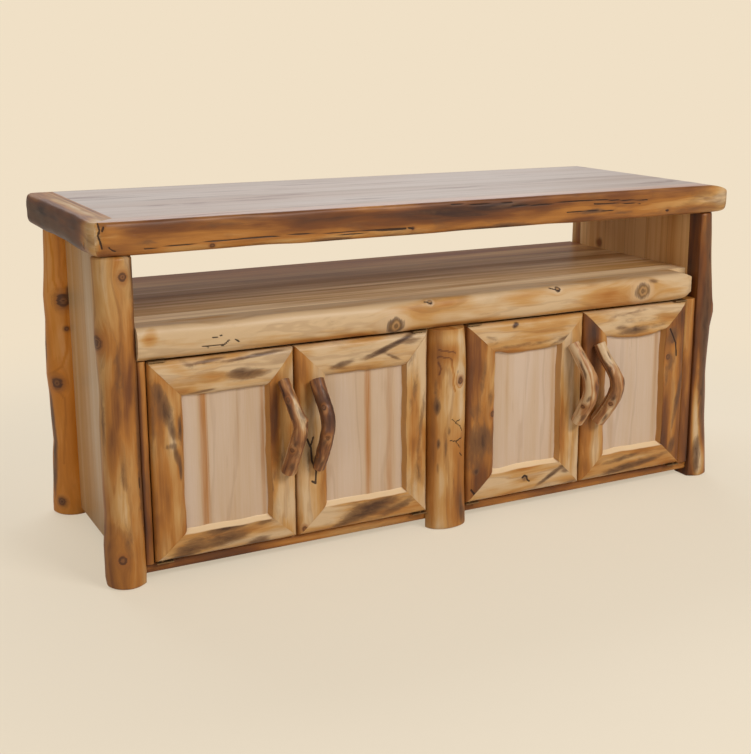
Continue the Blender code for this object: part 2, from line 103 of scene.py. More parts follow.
def scratches(along, across, lines):
    """1 on a set of fine dark lines, each a width and the points it runs through, and 0 off them."""
    depth = np.zeros_like(along)
    for width, points in lines:
        for (a0, b0), (a1, b1) in zip(points, points[1:]):
            da, db = a1 - a0, b1 - b0
            step = np.clip(((along - a0) * da + (across - b0) * db) / (da * da + db * db), 0, 1)
            away = np.hypot(along - a0 - step * da, across - b0 - step * db)
            depth = np.maximum(depth, np.clip(1.5 - away / width, 0, 1))
    return depth


def knots_on(along, across, knots):
    """Distance to the nearest knot in knot radii, and the grain's sideways place as it parts round them."""
    lengthen = 1.5
    nearest = np.full_like(along, 9.0)
    flow = across.copy()
    for at_along, at_across, radius in knots:
        u = (along - at_along) / lengthen
        v = across - at_across
        reach = np.hypot(u, v)
        nearest = np.minimum(nearest, np.hypot((along - at_along) / 1.15, v) / radius)
        flow = flow - v * np.clip((1.5 * radius) ** 2 / (reach ** 2 + (0.55 * radius) ** 2), 0, 0.94)
    return nearest, flow


def skin(name, rings):
    """A closed tube from rings of points, all with as many points, and capped at both ends."""
    rows, columns = rings.shape[:2]
    index = np.arange(rows * columns).reshape(rows, columns)
    after = np.roll(index, -1, axis=1)
    faces = np.stack([index[:-1], after[:-1], after[1:], index[1:]], axis=-1).reshape(-1, 4).tolist()
    faces += [index[0][::-1].tolist(), index[-1].tolist()]
    mesh = bpy.data.meshes.new(name)
    mesh.from_pydata(rings.reshape(-1, 3).tolist(), [], faces)
    shape = bmesh.new()
    shape.from_mesh(mesh)
    bmesh.ops.recalc_face_normals(shape, faces=shape.faces)
    shape.to_mesh(mesh)
    shape.free()
    mesh.shade_smooth()
    mesh.set_sharp_from_angle(angle=math.radians(50))
    piece = bpy.data.objects.new(name, mesh)
    bpy.context.scene.collection.objects.link(piece)
    return piece


def mark(piece, **layers):
    """Writes what the wood's finish reads: grain places as vectors, the rest as single numbers."""
    for name, values in layers.items():
        kind, slot = ("FLOAT_VECTOR", "vector") if values.ndim == 3 else ("FLOAT", "value")
        layer = piece.data.attributes.new(name, kind, "POINT")
        layer.data.foreach_set(slot, np.ascontiguousarray(values, dtype=np.float32).reshape(-1))


class Nodes:
    """Short ways to add and join the nodes of one material."""

    SETTINGS = ("operation", "attribute_name", "noise_dimensions")

    def __init__(self, name):
        self.material = bpy.data.materials.new(name)
        self.material.use_nodes = True
        self.tree = self.material.node_tree
        self.shader = self.tree.nodes["Principled BSDF"]

    def add(self, kind, **inputs):
        """Adds a node, makes its settings and feeds its inputs, whose names are written with _."""
        node = self.tree.nodes.new("ShaderNode" + kind)
        for name in self.SETTINGS:
            if name in inputs:
                setattr(node, name, inputs.pop(name))
        for name, value in inputs.items():
            self.feed(node.inputs[name.replace("_", " ")], value)
        return node

    def feed(self, socket, value):
        if isinstance(value, bpy.types.NodeSocket):
            self.tree.links.new(value, socket)
        else:
            socket.default_value = value

    def surface(self, **inputs):
        """Feeds the shader's own inputs."""
        for name, value in inputs.items():
            self.feed(self.shader.inputs[name.replace("_", " ")], value)

    def relief(self, height, strength, depth):
        return self.add("Bump", Strength=strength, Distance=depth, Height=height).outputs[0]

    def math(self, operation, first, second=0.0, third=0.0):
        node = self.tree.nodes.new("ShaderNodeMath")
        node.operation = operation
        for socket, value in zip(node.inputs, (first, second, third)):
            self.feed(socket, value)
        return node.outputs[0]

    def sway(self, pattern, amount, middle):
        """A value that a pattern carries up and down from its middle."""
        return self.math("MULTIPLY_ADD", self.math("SUBTRACT", pattern, 0.5), amount, middle)

    def layer(self, name, output="Fac"):
        return self.add("Attribute", attribute_name=name).outputs[output]

    def stretch(self, vector, scale, shift=(0.0, 0.0, 0.0)):
        return self.add("Mapping", Vector=vector, Scale=scale, Location=shift).outputs[0]

    def noise(self, vector, detail, roughness=0.55, distortion=0.0):
        node = self.add("TexNoise", Vector=vector, Scale=1.0, Detail=detail, Roughness=roughness,
                        Distortion=distortion)
        return node.outputs["Fac"]

    def between(self, value, low, high):
        """0 below low, 1 above high, and smooth in between."""
        node = self.tree.nodes.new("ShaderNodeMapRange")
        node.interpolation_type = "SMOOTHSTEP"
        self.feed(node.inputs["Value"], value)
        node.inputs["From Min"].default_value = low
        node.inputs["From Max"].default_value = high
        return node.outputs["Result"]

    def below(self, value, low, high):
        """1 below low, 0 above high, and smooth in between."""
        return self.math("SUBTRACT", 1.0, self.between(value, low, high))

    def mix(self, amount, first, second):
        """From the first colour to the second as the amount goes from 0 to 1."""
        node = self.tree.nodes.new("ShaderNodeMix")
        node.data_type = "RGBA"
        self.feed(node.inputs["Factor"], amount)
        for side, colour in (("A", first), ("B", second)):
            self.feed(node.inputs[side], (*colour, 1.0) if isinstance(colour, tuple) else colour)
        return node.outputs["Result"]

    def over(self, under, colour, where, strength=1.0):
        """Lays a colour over another where a mask is 1, as strongly as given."""
        return self.mix(where if strength == 1.0 else self.math("MULTIPLY", where, strength), under, colour)

    def ramp(self, value, stops):
        node = self.tree.nodes.new("ShaderNodeValToRGB")
        self.feed(node.inputs[0], value)
        band = node.color_ramp
        while len(band.elements) < len(stops):
            band.elements.new(1.0)
        for element, (place, colour) in zip(band.elements, stops):
            element.position = place
            element.color = (*colour, 1.0)
        return node.outputs["Color"]


# Lacquered aspen, from its sapwood to the marks that its bark leaves.
CREAM = (0.62, 0.43, 0.245)
STRAW = (0.53, 0.285, 0.094)
HONEY = (0.41, 0.160, 0.030)
BROWN = (0.185, 0.060, 0.014)
UMBER = (0.062, 0.026, 0.013)
DEEP = (0.048, 0.021, 0.014)
ASPEN = (CREAM, STRAW, HONEY, BROWN)
SMOKE = (0.135, 0.062, 0.028)
STAIN = (0.135, 0.062, 0.027)
KNOT_RIM = (0.060, 0.022, 0.011)
CRACK = (0.026, 0.012, 0.007)
# Sawn wood under the skin. The pale one, laid on upward slopes, is partly painted light from above.
SAWN_PALE_PAINTED_LIGHT = (0.88, 0.665, 0.415)
SAWN_GOLDEN = (0.470, 0.225, 0.068)
END_PALE = (0.58, 0.39, 0.22)
END_DARK = (0.42, 0.24, 0.10)
# The planed boards of the top, pale partly by a painted sheen, and what streaks them.
PALE_WOOD_PAINTED_SHEEN = (0.700, 0.560, 0.480)
DULL_WOOD_PAINTED_SHEEN = (0.585, 0.415, 0.325)
DUSK = (0.400, 0.275, 0.200)
HEARTWOOD = (0.235, 0.100, 0.070)
ROSE = (0.470, 0.245, 0.185)
GLUE_LINE = (0.20, 0.120, 0.085)
TOP_BOARD_WIDTH = 0.0875


def boards_with_painted_sheen(n, place):
    """The top's boards, planed and lacquered: a pale colour, partly the wood and partly a painted sheen,
    with faint rosy streaks of heartwood. Gives the colour and what the roughness and the relief are made
    from."""
    side = n.add("SeparateXYZ", Vector=place).outputs["Y"]
    count = n.math("MULTIPLY_ADD", side, 1 / TOP_BOARD_WIDTH, 50.4)
    chance = n.add("TexWhiteNoise", noise_dimensions="1D", W=n.math("FLOOR", count)).outputs["Value"]
    bands = n.noise(n.stretch(place, (1.4, 40.0, 1.0)), 4.0, 0.58, 0.2)
    patches = n.noise(n.stretch(place, (1.6, 11.0, 1.0), (4.0, 1.0, 0.0)), 3.0, 0.5)
    streaks = n.noise(n.stretch(place, (2.0, 24.0, 1.0), (7.0, 3.0, 0.0)), 5.0, 0.62, 0.6)
    near_front = n.below(n.math("MULTIPLY_ADD", bands, 0.08, side), -0.225, -0.155)
    joint = n.between(n.math("ABSOLUTE", n.math("SUBTRACT", n.math("FRACT", count), 0.5)), 0.486, 0.497)
    colour = n.mix(n.between(n.sway(chance, 0.40, patches), 0.30, 0.72), PALE_WOOD_PAINTED_SHEEN, DULL_WOOD_PAINTED_SHEEN)
    colour = n.over(colour, DUSK, n.between(bands, 0.46, 0.70), 0.36)
    colour = n.over(colour, HEARTWOOD, n.between(streaks, 0.545, 0.70), 0.78)
    # Towards the front edge the painted sheen gives way to rose.
    colour = n.over(colour, ROSE, near_front, 0.50)
    colour = n.over(colour, GLUE_LINE, joint, 0.40)
    return colour, patches, bands


def log_wood(name, base=0.45, streak=1.0, blotch=1.0, ring=0.30, smoke=0.0, seed=0.0, coat=0.10, tint=None,
             planed=False, stops=ASPEN, halo=(0.30, 0.105, 0.026), heart=(0.23, 0.090, 0.030)):
    """Lacquered aspen: pale to honey bands that follow the grain, dark smudges, knots and checks."""
    n = Nodes(name)
    grain = n.stretch(n.layer("grain", "Vector"), (1.0, 1.0, 1.0), (0.0, 0.0, seed))
    bands = n.noise(n.stretch(grain, (3.2, 44.0, 1.0)), 5.0, 0.58, 0.35)
    patches = n.noise(n.stretch(grain, (3.6, 15.0, 1.0), (3.0, 0.0, 7.0)), 3.0, 0.5, 0.3)
    fibres = n.noise(n.stretch(grain, (22.0, 430.0, 1.0)), 3.0, 0.6)
    torn = n.noise(n.stretch(grain, (22.0, 75.0, 1.0), (0.0, 0.0, 3.0)), 6.0, 0.66, 0.6)

    tone = n.sway(bands, 0.95 * streak, base)
    tone = n.sway(patches, 1.7 * blotch, tone)
    tone = n.math("ADD", tone, n.layer("tone"))
    tone = n.sway(fibres, 0.22, tone)
    pale, straw, honey, brown = stops
    colour = n.ramp(n.math("MULTIPLY", tone, 0.62),
                    ((0.05, pale), (0.22, straw), (0.40, honey), (0.62, brown), (0.90, DEEP)))

    # Growth rings cut at a slant show as fine darker lines that flow round the knots.
    across = n.add("SeparateXYZ", Vector=grain).outputs["Y"]
    swing = n.math("MULTIPLY_ADD", patches, 9.0, n.math("MULTIPLY", across, 55.0))
    swing = n.math("MULTIPLY_ADD", bands, 2.2, swing)
    lines = n.between(n.math("ABSOLUTE", n.math("SINE", swing)), 0.93, 1.0)
    colour = n.over(colour, BROWN, lines, ring)
    if smoke:
        haze = n.noise(n.stretch(grain, (6.5, 21.0, 1.0), (9.0, 0.0, 1.0)), 5.0, 0.6, 0.9)
        haze = n.sway(torn, 0.35, haze)
        colour = n.over(colour, SMOKE, n.between(haze, 0.50, 0.72), smoke)
    if tint:
        colour = n.mix(tint[3], colour, tint[:3])

    # A knot has a torn dark rim and fine turns inside it, and browns the wood round it.
    lumps = n.noise(n.stretch(grain, (110.0, 150.0, 1.0), (5.0, 0.0, 2.0)), 4.0, 0.6)
    wobble = n.sway(torn, 1.0, n.layer("knot"))
    wobble = n.sway(lumps, 1.1, wobble)
    colour = n.over(colour, halo, n.below(wobble, 0.8, 2.5), 0.80)
    turns = n.math("MULTIPLY_ADD", n.math("SINE", n.math("MULTIPLY", wobble, 12.0)), 0.5, 0.5)
    darker = tuple(0.62 * part for part in heart)
    colour = n.over(colour, n.mix(turns, heart, darker), n.below(wobble, 0.70, 0.95))
    rim = n.below(n.math("ABSOLUTE", n.math("SUBTRACT", wobble, 0.90)), 0.06, 0.34)
    rim = n.math("MULTIPLY", rim, n.math("MULTIPLY_ADD", n.between(torn, 0.40, 0.56), 0.60, 0.40))
    pith = n.math("MULTIPLY", n.below(wobble, 0.05, 0.40), 0.5)
    colour = n.over(colour, KNOT_RIM, n.math("MAXIMUM", rim, pith), 0.82)

    # The bark has left soft and hard smudges, and the wood has opened in fine checks.
    smudge = n.sway(torn, 1.1, n.layer("stain"))
    colour = n.over(colour, STAIN, n.between(smudge, 0.12, 0.62), 0.76)
    colour = n.over(colour, UMBER, n.between(smudge, 0.56, 0.98), 0.88)
    check = n.between(n.sway(torn, 0.5, n.layer("crack")), 0.30, 0.72)
    colour = n.over(colour, CRACK, check, 0.93)

    # Sawn edges and ends, and the faces that were planed with the top. The pale of a sawn edge is partly
    # painted light, and the planed faces take the boards' colour with its painted sheen.
    colour = n.over(colour, SAWN_PALE_PAINTED_LIGHT, n.layer("pale"))
    colour = n.over(colour, SAWN_GOLDEN, n.layer("golden"))
    colour = n.over(colour, n.mix(patches, END_PALE, END_DARK), n.layer("end"))
    if planed:
        boards = boards_with_painted_sheen(n, n.add("TexCoord").outputs["Object"])[0]
        colour = n.over(colour, boards, n.layer("planed"))

    rough = n.math("MULTIPLY_ADD", patches, 0.25, 0.34)
    rough = n.math("MULTIPLY_ADD", check, 0.3, rough)
    height = n.math("MULTIPLY_ADD", bands, 0.5, n.math("MULTIPLY", fibres, 0.25))
    height = n.math("MULTIPLY_ADD", check, -1.4, height)
    height = n.math("MULTIPLY_ADD", rim, -0.5, height)
    n.surface(Base_Color=colour, Roughness=rough, Normal=n.relief(height, 0.32, 0.0009),
              Specular_IOR_Level=0.27, Coat_Weight=coat, Coat_Roughness=0.24)
    return n.material


VEIN_STRENGTH = 0.46


def finish_log(piece, material, body, nodes, along, across, knots=(), dark=(), tones=(),
               lines=(), veins=(), ends=None, seed=0.0, fineness=1.0):
    """Gives a log its marks, its finish, its body and the solids it stands for. The marks are as in
    knots_on, smudges, shades and scratches, and veins are soft brown lines of grain."""
    nearest, flow = knots_on(along, across, knots)
    grain = np.stack([along * fineness, flow * fineness, np.full_like(along, seed)], axis=-1)
    tone = shades(along, across, tones) + VEIN_STRENGTH * scratches(along, across, veins)
    mark(piece, grain=grain, knot=nearest, stain=smudges(along, across, dark), tone=tone,
         crack=scratches(along, across, lines), end=np.zeros_like(along) if ends is None else ends)
    piece.data.materials.append(material)
    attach(piece, body)
    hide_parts(*nodes)
    return piece


def swell(along, across, knots, height, spread=1.35):
    """How far the wood stands out over its knots."""
    rise = np.zeros_like(along)
    for at_along, at_across, radius in knots:
        reach = np.hypot((along - at_along) / 1.3, across - at_across) / (radius * spread)
        rise = rise + height * np.exp(-reach ** 2) * (radius / 0.012)
        rise = rise - 0.35 * height * np.exp(-(reach / 0.55) ** 2)
    return rise


POST_SIDES = 80
POST_STEP = 0.0035
END_EASE = 0.005                                      # how far the sawn ends are rounded
POSTS = {
    # girth: the log's radius at heights up it, towards a way round it in degrees from the front to +X.
    # The knots, smudges, tones, fine lines and dark veins are places up the post and round it, in metres
    # of bark from the front towards +X. A tint is a colour and how strongly it is laid over the wood.
    "post_front_left": dict(
        base=0.55, smoke=0.26, seed=5.3,
        girth=[(-75, [(0.0, 0.0470), (0.02, 0.0505), (0.09, 0.0505), (0.16, 0.0440), (0.69, 0.0425)]),
               (60, [(0.0, 0.0385), (0.03, 0.0410), (0.07, 0.0388), (0.13, 0.0395), (0.26, 0.0376),
                     (0.35, 0.0394), (0.48, 0.0412), (0.60, 0.0411), (0.69, 0.0415)])],
        knots=[(0.652, 0.006, 0.0080), (0.520, -0.056, 0.013), (0.067, -0.021, 0.0080)],
        dark=[(0.380, -0.050, 0.10, 0.008, 0, 0.40), (0.450, -0.010, 0.09, 0.012, 0, 0.35),
              (0.360, 0.030, 0.14, 0.009, 0, 0.70), (0.200, 0.030, 0.10, 0.008, 0, 0.60),
              (0.660, 0.035, 0.05, 0.016, 0, 0.80), (0.560, 0.034, 0.06, 0.010, 0, 0.55),
              (0.110, -0.010, 0.04, 0.012, 0, 0.35), (0.240, -0.012, 0.05, 0.008, 0, 0.35)],
        tones=[(0.430, 0.000, 0.12, 0.030, 0, 0.26), (0.520, -0.030, 0.05, 0.014, 0, 0.30),
               # The long browner patch down its right side, towards the doors, is partly painted shade.
               (0.300, 0.040, 0.30, 0.018, 0, 0.40), (0.300, -0.030, 0.06, 0.012, 0, 0.25),
               (0.120, 0.000, 0.10, 0.030, 0, 0.12),
               (0.200, -0.030, 0.10, 0.022, 0, -0.22), (0.640, -0.020, 0.04, 0.030, 0, -0.10)],
        lines=[(0.0016, [(0.235, 0.026), (0.215, 0.027)]), (0.0014, [(0.128, 0.034), (0.112, 0.035)])]),
    "post_front_right": dict(
        base=1.12, smoke=0.55, seed=10.6,
        girth=[(50, [(0.0, 0.0430), (0.015, 0.0419), (0.081, 0.0384), (0.146, 0.0350), (0.212, 0.0325),
                     (0.27, 0.0303), (0.34, 0.0318), (0.395, 0.0342), (0.420, 0.0380), (0.436, 0.0398),
                     (0.452, 0.0392), (0.475, 0.0366), (0.50, 0.0344), (0.56, 0.0310), (0.62, 0.0275),
                     (0.69, 0.0230)])],
        knots=[(0.440, 0.034, 0.010)],
        dark=[(0.560, 0.005, 0.09, 0.014, 0, 0.75), (0.400, 0.000, 0.12, 0.016, 0, 0.80),
              (0.230, 0.004, 0.12, 0.014, 0, 0.80), (0.060, -0.010, 0.05, 0.012, 0, 0.75),
              (0.640, -0.010, 0.05, 0.012, 0, 0.60)],
        tones=[(0.575, 0.018, 0.11, 0.020, 0, -0.50), (0.120, -0.014, 0.11, 0.011, -3, -0.95),
               (0.035, 0.004, 0.05, 0.016, 0, -0.85), (0.300, -0.016, 0.12, 0.007, 0, -0.45)]),
    "post_rear_left": dict(
        shift=(0.004, -0.008), base=0.52, smoke=0.20, seed=15.9,
        tint=(0.84, 0.285, 0.014, 0.52),
        girth=[(-90, [(0.0, 0.0510), (0.026, 0.0503), (0.086, 0.0466), (0.147, 0.0441), (0.177, 0.0411),
                      (0.236, 0.0420), (0.296, 0.0429), (0.340, 0.0462), (0.413, 0.0447), (0.470, 0.0411),
                      (0.528, 0.0421), (0.584, 0.0385), (0.640, 0.0350), (0.69, 0.0325)]),
               (0, [(0.0, 0.050), (0.69, 0.048)])],
        knots=[(0.522, -0.007, 0.0130), (0.326, -0.029, 0.0110), (0.034, -0.034, 0.0078),
               (0.455, -0.004, 0.0042)],
        dark=[(0.250, -0.056, 0.06, 0.010, 0, 0.80), (0.170, -0.050, 0.07, 0.010, 0, 0.80),
              (0.090, -0.056, 0.04, 0.010, 0, 0.75), (0.400, -0.060, 0.04, 0.006, 0, 0.60),
              (0.540, 0.006, 0.025, 0.008, 0, 0.80), (0.480, -0.070, 0.05, 0.006, 0, 0.50)],
        tones=[(0.350, -0.060, 0.30, 0.016, 0, 0.26), (0.120, -0.060, 0.10, 0.016, 0, 0.30),
               (0.400, -0.020, 0.06, 0.010, 0, -0.20), (0.640, -0.010, 0.05, 0.016, 0, 0.28)],
        veins=[(0.0022, [(0.505, -0.003), (0.450, -0.0046), (0.402, -0.0065), (0.366, -0.017),
                         (0.352, -0.035), (0.345, -0.049)]),
               (0.0022, [(0.318, -0.038), (0.302, -0.024), (0.289, -0.0156), (0.248, -0.0156),
                         (0.194, -0.021), (0.129, -0.026)]),
               (0.0020, [(0.690, -0.030), (0.620, -0.022), (0.570, -0.024), (0.545, -0.016)]),
               (0.0020, [(0.690, -0.012), (0.640, -0.008), (0.580, -0.012), (0.550, -0.004)]),
               (0.0016, [(0.690, -0.044), (0.610, -0.040), (0.540, -0.042)])]),
    "post_rear_right": dict(
        shift=(0.0, -0.002), base=0.62, smoke=0.4, seed=21.2,
        girth=[(90, [(0.0, 0.044), (0.69, 0.040)])],
        knots=[(0.420, 0.030, 0.012), (0.210, 0.060, 0.010), (0.580, 0.085, 0.011)],
        dark=[(0.300, 0.040, 0.10, 0.010, 0, 0.50), (0.550, 0.020, 0.06, 0.008, 0, 0.40)],
        tones=[(0.350, 0.060, 0.20, 0.030, 0, 0.18)]),
}
panel_face = abs(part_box("side_panel_left")[1].x)      # the inner faces of the side panels

for seed, (name, post) in enumerate(POSTS.items(), 1):
    low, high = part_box(name)
    side = -1 if name.endswith("left") else 1
    radius = (high.y - low.y) / 2
    outer = low.x if side < 0 else high.x
    shift_x, shift_y = post.get("shift", (0.0, 0.0))
    middle_x = outer - side * radius + shift_x
    middle_y = (low.y + high.y) / 2 + shift_y
    rows = round((high.z - low.z) / POST_STEP) + 1
    up, turn = np.meshgrid(np.linspace(low.z, high.z, rows),
                           np.linspace(-math.pi, math.pi, POST_SIDES, False), indexing="ij")
    around = turn * radius
    # A log is not quite round or straight, swells at its knots and is eased at its sawn ends.
    place = np.stack([np.sin(turn) * 0.05, np.cos(turn) * 0.05, up], axis=-1)
    reach = np.full_like(up, radius)
    for way, heights in post["girth"]:
        there = np.cos(np.clip(turn - math.radians(way), -math.pi / 2, math.pi / 2)) ** 2
        reach = reach + there * (np.interp(up, *zip(*heights)) - radius)
    reach = reach + 0.0012 * wander(place * (1, 1, 0.55), 0.060, seed)
    reach = reach + 0.0008 * wander(place * (1, 1, 0.35), 0.024, seed + 20)
    reach = reach + swell(up, around, post["knots"], 0.0020)
    cracks = post.get("lines", ())
    reach = reach - 0.0012 * scratches(up, around, cracks)
    from_end = np.clip(np.minimum(up - low.z, high.z - up) / END_EASE, 0, 1)
    reach = reach - END_EASE * (1 - np.sqrt(np.clip(1 - (1 - from_end) ** 2, 0, 1)))
    x = middle_x + reach * np.sin(turn)
    y = middle_y - reach * np.cos(turn)
    x = side * np.maximum(side * x, panel_face + 0.0004)
    rings = np.stack([x, y, up], axis=-1)
    piece = skin(name + "_log", rings)
    wood = log_wood(name + "_lacquer", base=post["base"], smoke=post["smoke"], seed=post["seed"],
                    tint=post.get("tint"))
    finish_log(piece, wood, "cabinet", [name], up, around, knots=post["knots"], dark=post["dark"],
               tones=post["tones"], lines=cracks, veins=post.get("veins", ()), seed=seed * 1.7)


# ---------------------------------------------------------------------------------------------------
# The boards: side panels, shelf, floor, back, cleats, stiles and divider. They are aspen boards glued
# edge to edge, planed and lacquered, with a little change of tone from one board to the next.

def walk_round(outline, count=None, spacing=None):
    """Points evenly spaced along an outline: their first and their second coordinates."""
    corners = np.array(outline)
    way = np.concatenate([[0.0], np.cumsum(np.hypot(*np.diff(corners, axis=0).T))])
    steps = np.linspace(0.0, way[-1], count or round(way[-1] / spacing), endpoint=False)
    return np.interp(steps, way, corners[:, 0]), np.interp(steps, way, corners[:, 1])


def board_wood(name, along, across, width, base=0.3, seed=0.0, painted_shade_drift=0.0, coat=0.3, streak=0.9, knot=None,
               stops=ASPEN):
    """Glued boards, whose grain runs along one axis and whose joints lie across another. They may
    grow darker from one side to the other, a painted shade, and have one knot (along, across, radius)."""
    n = Nodes(name)
    place = n.add("TexCoord").outputs["Object"]
    parts = n.add("SeparateXYZ", Vector=place)
    run = parts.outputs["XYZ".index(along)]
    side = parts.outputs["XYZ".index(across)]
    third = parts.outputs[({0, 1, 2} - {"XYZ".index(along), "XYZ".index(across)}).pop()]
    count = n.math("MULTIPLY_ADD", side, 1.0 / width, 50.13 + seed)
    board = n.math("FLOOR", count)
    chance = n.add("TexWhiteNoise", noise_dimensions="1D", W=board).outputs["Value"]
    shifted = n.math("MULTIPLY_ADD", chance, 9.0, run)
    grain = n.add("CombineXYZ", X=shifted, Y=n.math("MULTIPLY_ADD", third, 0.6, side),
                  Z=n.math("MULTIPLY_ADD", chance, 5.0, seed)).outputs[0]
    bands = n.noise(n.stretch(grain, (1.3, 46.0, 1.0)), 4.0, 0.58, 0.15)
    patches = n.noise(n.stretch(grain, (1.1, 11.0, 1.0), (3.0, 0.0, 7.0)), 3.0, 0.5)
    fibres = n.noise(n.stretch(grain, (18.0, 520.0, 1.0)), 3.0, 0.6)
    tone = n.sway(bands, 0.9 * streak, base)
    tone = n.sway(patches, 0.9 * streak, tone)
    tone = n.sway(chance, 0.22, tone)
    tone = n.sway(fibres, 0.20, tone)
    # Painted shade: the tone grows darker towards one side, as on the shelf towards the back under the top.
    tone = n.math("MULTIPLY_ADD", side, painted_shade_drift, tone)
    pale, straw, honey, brown = stops
    colour = n.ramp(tone, ((0.10, pale), (0.38, straw), (0.66, honey), (0.98, brown)))
    swing = n.math("MULTIPLY_ADD", patches, 9.0, n.math("MULTIPLY", side, 70.0))
    lines = n.between(n.math("ABSOLUTE", n.math("SINE", swing)), 0.965, 1.0)
    colour = n.over(colour, HONEY, lines, 0.22)
    from_joint = n.math("ABSOLUTE", n.math("SUBTRACT", n.math("FRACT", count), 0.5))
    joint = n.between(from_joint, 0.5 - 0.0011 / width, 0.5 - 0.0003 / width)
    colour = n.over(colour, BROWN, joint, 0.42)
    if knot:
        at_run, at_side, radius = knot
        off = n.add("CombineXYZ", X=n.math("SUBTRACT", run, at_run), Y=n.math("SUBTRACT", side, at_side))
        away = n.add("VectorMath", operation="LENGTH", Vector=off.outputs[0]).outputs["Value"]
        away = n.sway(bands, 0.02, away)
        colour = n.over(colour, BROWN, n.below(away, 0.5 * radius, 1.4 * radius), 0.85)
    height = n.math("MULTIPLY_ADD", bands, 0.4, n.math("MULTIPLY", fibres, 0.25))
    height = n.math("MULTIPLY_ADD", joint, -0.8, height)
    n.surface(Base_Color=colour, Roughness=n.math("MULTIPLY_ADD", patches, 0.20, 0.28),
              Normal=n.relief(height, 0.22, 0.0006), Specular_IOR_Level=0.5 if coat > 0.1 else 0.12,
              Coat_Weight=coat, Coat_Roughness=0.14)
    return n.material


def finish_node(name, material):
    """Gives a solid that stays as it is its finish."""
    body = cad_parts[name]
    body.data.materials.clear()
    body.data.materials.append(material)


BOARDS = {
    # The way the grain runs, the way the boards lie side by side, a board's width, the tone, and the rest.
    "side_panel_left": ("Z", "Y", 0.093, 0.30, dict(streak=0.6)),
    "side_panel_right": ("Z", "Y", 0.088, 0.22, dict(
        coat=0.05, knot=(0.560, 0.174, 0.014),
        stops=((0.74, 0.465, 0.215), (0.62, 0.335, 0.120), HONEY, BROWN))),
    # The shelf has painted light at its front and painted shade towards the back, under the top.
    "shelf_panel": ("X", "Y", 0.096, 0.34, dict(
        painted_shade_drift=1.35, coat=0.03,
        stops=((0.90, 0.690, 0.430), (0.54, 0.310, 0.115), (0.30, 0.130, 0.038), BROWN))),
    "back_panel": ("Z", "X", 0.120, 0.34, {}),
    "bottom_panel": ("X", "Y", 0.096, 0.40, {}),
    "centre_stile": ("Z", "X", 0.400, 0.45, {}),
    "centre_divider": ("Z", "Y", 0.120, 0.42, {}),
    "top_cleat_left": ("Y", "Z", 0.400, 0.45, {}),
    "top_cleat_right": ("Y", "Z", 0.400, 0.45, {}),
}
for seed, (name, (along, across, width, base, more)) in enumerate(BOARDS.items(), 1):
    finish_node(name, board_wood(name + "_lacquer", along, across, width, base=base, seed=seed * 3.1, **more))

# The strips that the outer doors hang by and the rail under the doors, their front edges eased.
STRIP_POINTS = 48                                     # round a strip's section
STRIP_STEP = 0.005
STRIPS = {
    # The tone, how far its front edges are rounded, and soft patches: along it, across it from its middle.
    # These strips sit back in the gaps beside and under the doors; their dark tones are partly painted shade.
    "hinge_stile_left": dict(base=0.72, ease=0.006, tones=[(0.300, -0.006, 0.20, 0.004, 0, 0.5)]),
    "hinge_stile_right": dict(base=0.66, ease=0.009, tones=[(0.250, 0.012, 0.25, 0.005, 0, 0.4)]),
    "bottom_front_rail": dict(base=0.84, ease=0.006, tones=[(-0.250, 0.0, 0.20, 0.012, 0, -0.30)]),
}
for seed, (name, strip) in enumerate(STRIPS.items(), 1):
    low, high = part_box(name)
    upright = high.z - low.z > high.x - low.x
    start, end = (low.z, high.z) if upright else (low.x, high.x)
    left, right = (low.x, high.x) if upright else (low.z, high.z)
    ease = strip["ease"]
    outline = [(left, high.y), (left, low.y + ease)]
    for step in range(1, 6):
        turn = math.pi / 2 * step / 6
        outline.append((left + ease * (1 - math.cos(turn)), low.y + ease * (1 - math.sin(turn))))
    outline.append((left + ease, low.y))
    outline += [(left + right - u, v) for u, v in outline[::-1]] + [outline[0]]
    u, v = walk_round(outline, count=STRIP_POINTS)
    run, column = np.meshgrid(np.linspace(start, end, round((end - start) / STRIP_STEP)),
                              np.arange(STRIP_POINTS), indexing="ij")
    front = 1 - np.clip((v[column] - low.y) / 0.010, 0, 1)
    place = np.stack([run, u[column], np.zeros_like(run)], axis=-1)
    waver = front * (0.0004 + 0.0008 * (1 + wander(place, 0.05, seed + 130)))
    y = v[column] + waver
    x, z = (u[column], run) if upright else (run, u[column])
    piece = skin(name + "_strip", np.stack([x, y, z], axis=-1))
    wood = log_wood(name + "_lacquer", base=strip["base"], seed=seed * 5.3 + 60, ring=0.2, smoke=0.3)
    finish_log(piece, wood, "cabinet", [name],
               run, u[column] - (left + right) / 2 + 0.5 * (y - low.y), tones=strip["tones"],
               seed=seed * 2.9 + 8)


# ---------------------------------------------------------------------------------------------------
# The shelf's front rail and the log edges of the top: logs ripped flat above, below and behind, their
# round faces left as they grew. The top's logs are mitred and rounded over at the front corners.

def half_log_section(depth, height, top_round, bottom_round, squareness):
    """A section as (out from the sawn back, up from the underside), from the back over the top and down
    the face."""
    middle = height * 0.55
    outline = [(0.0, height), (depth - top_round, height)]
    for step in range(1, 25):
        turn = math.pi / 2 - math.pi * step / 24
        lift, out = math.sin(turn), math.cos(turn)
        curve = top_round if lift > 0 else bottom_round
        reach = height - middle if lift > 0 else middle
        outline.append((depth - curve + curve * abs(out) ** squareness,
                        middle + reach * math.copysign(abs(lift) ** squareness, lift)))
    return walk_round(outline + [(0.0, 0.0), (0.0, height)], spacing=0.0028)


def on_face(out, depth):
    """1 on the round face and 0 well back on the sawn sides."""
    return np.clip((out - (depth - 0.034)) / 0.020, 0, 1)


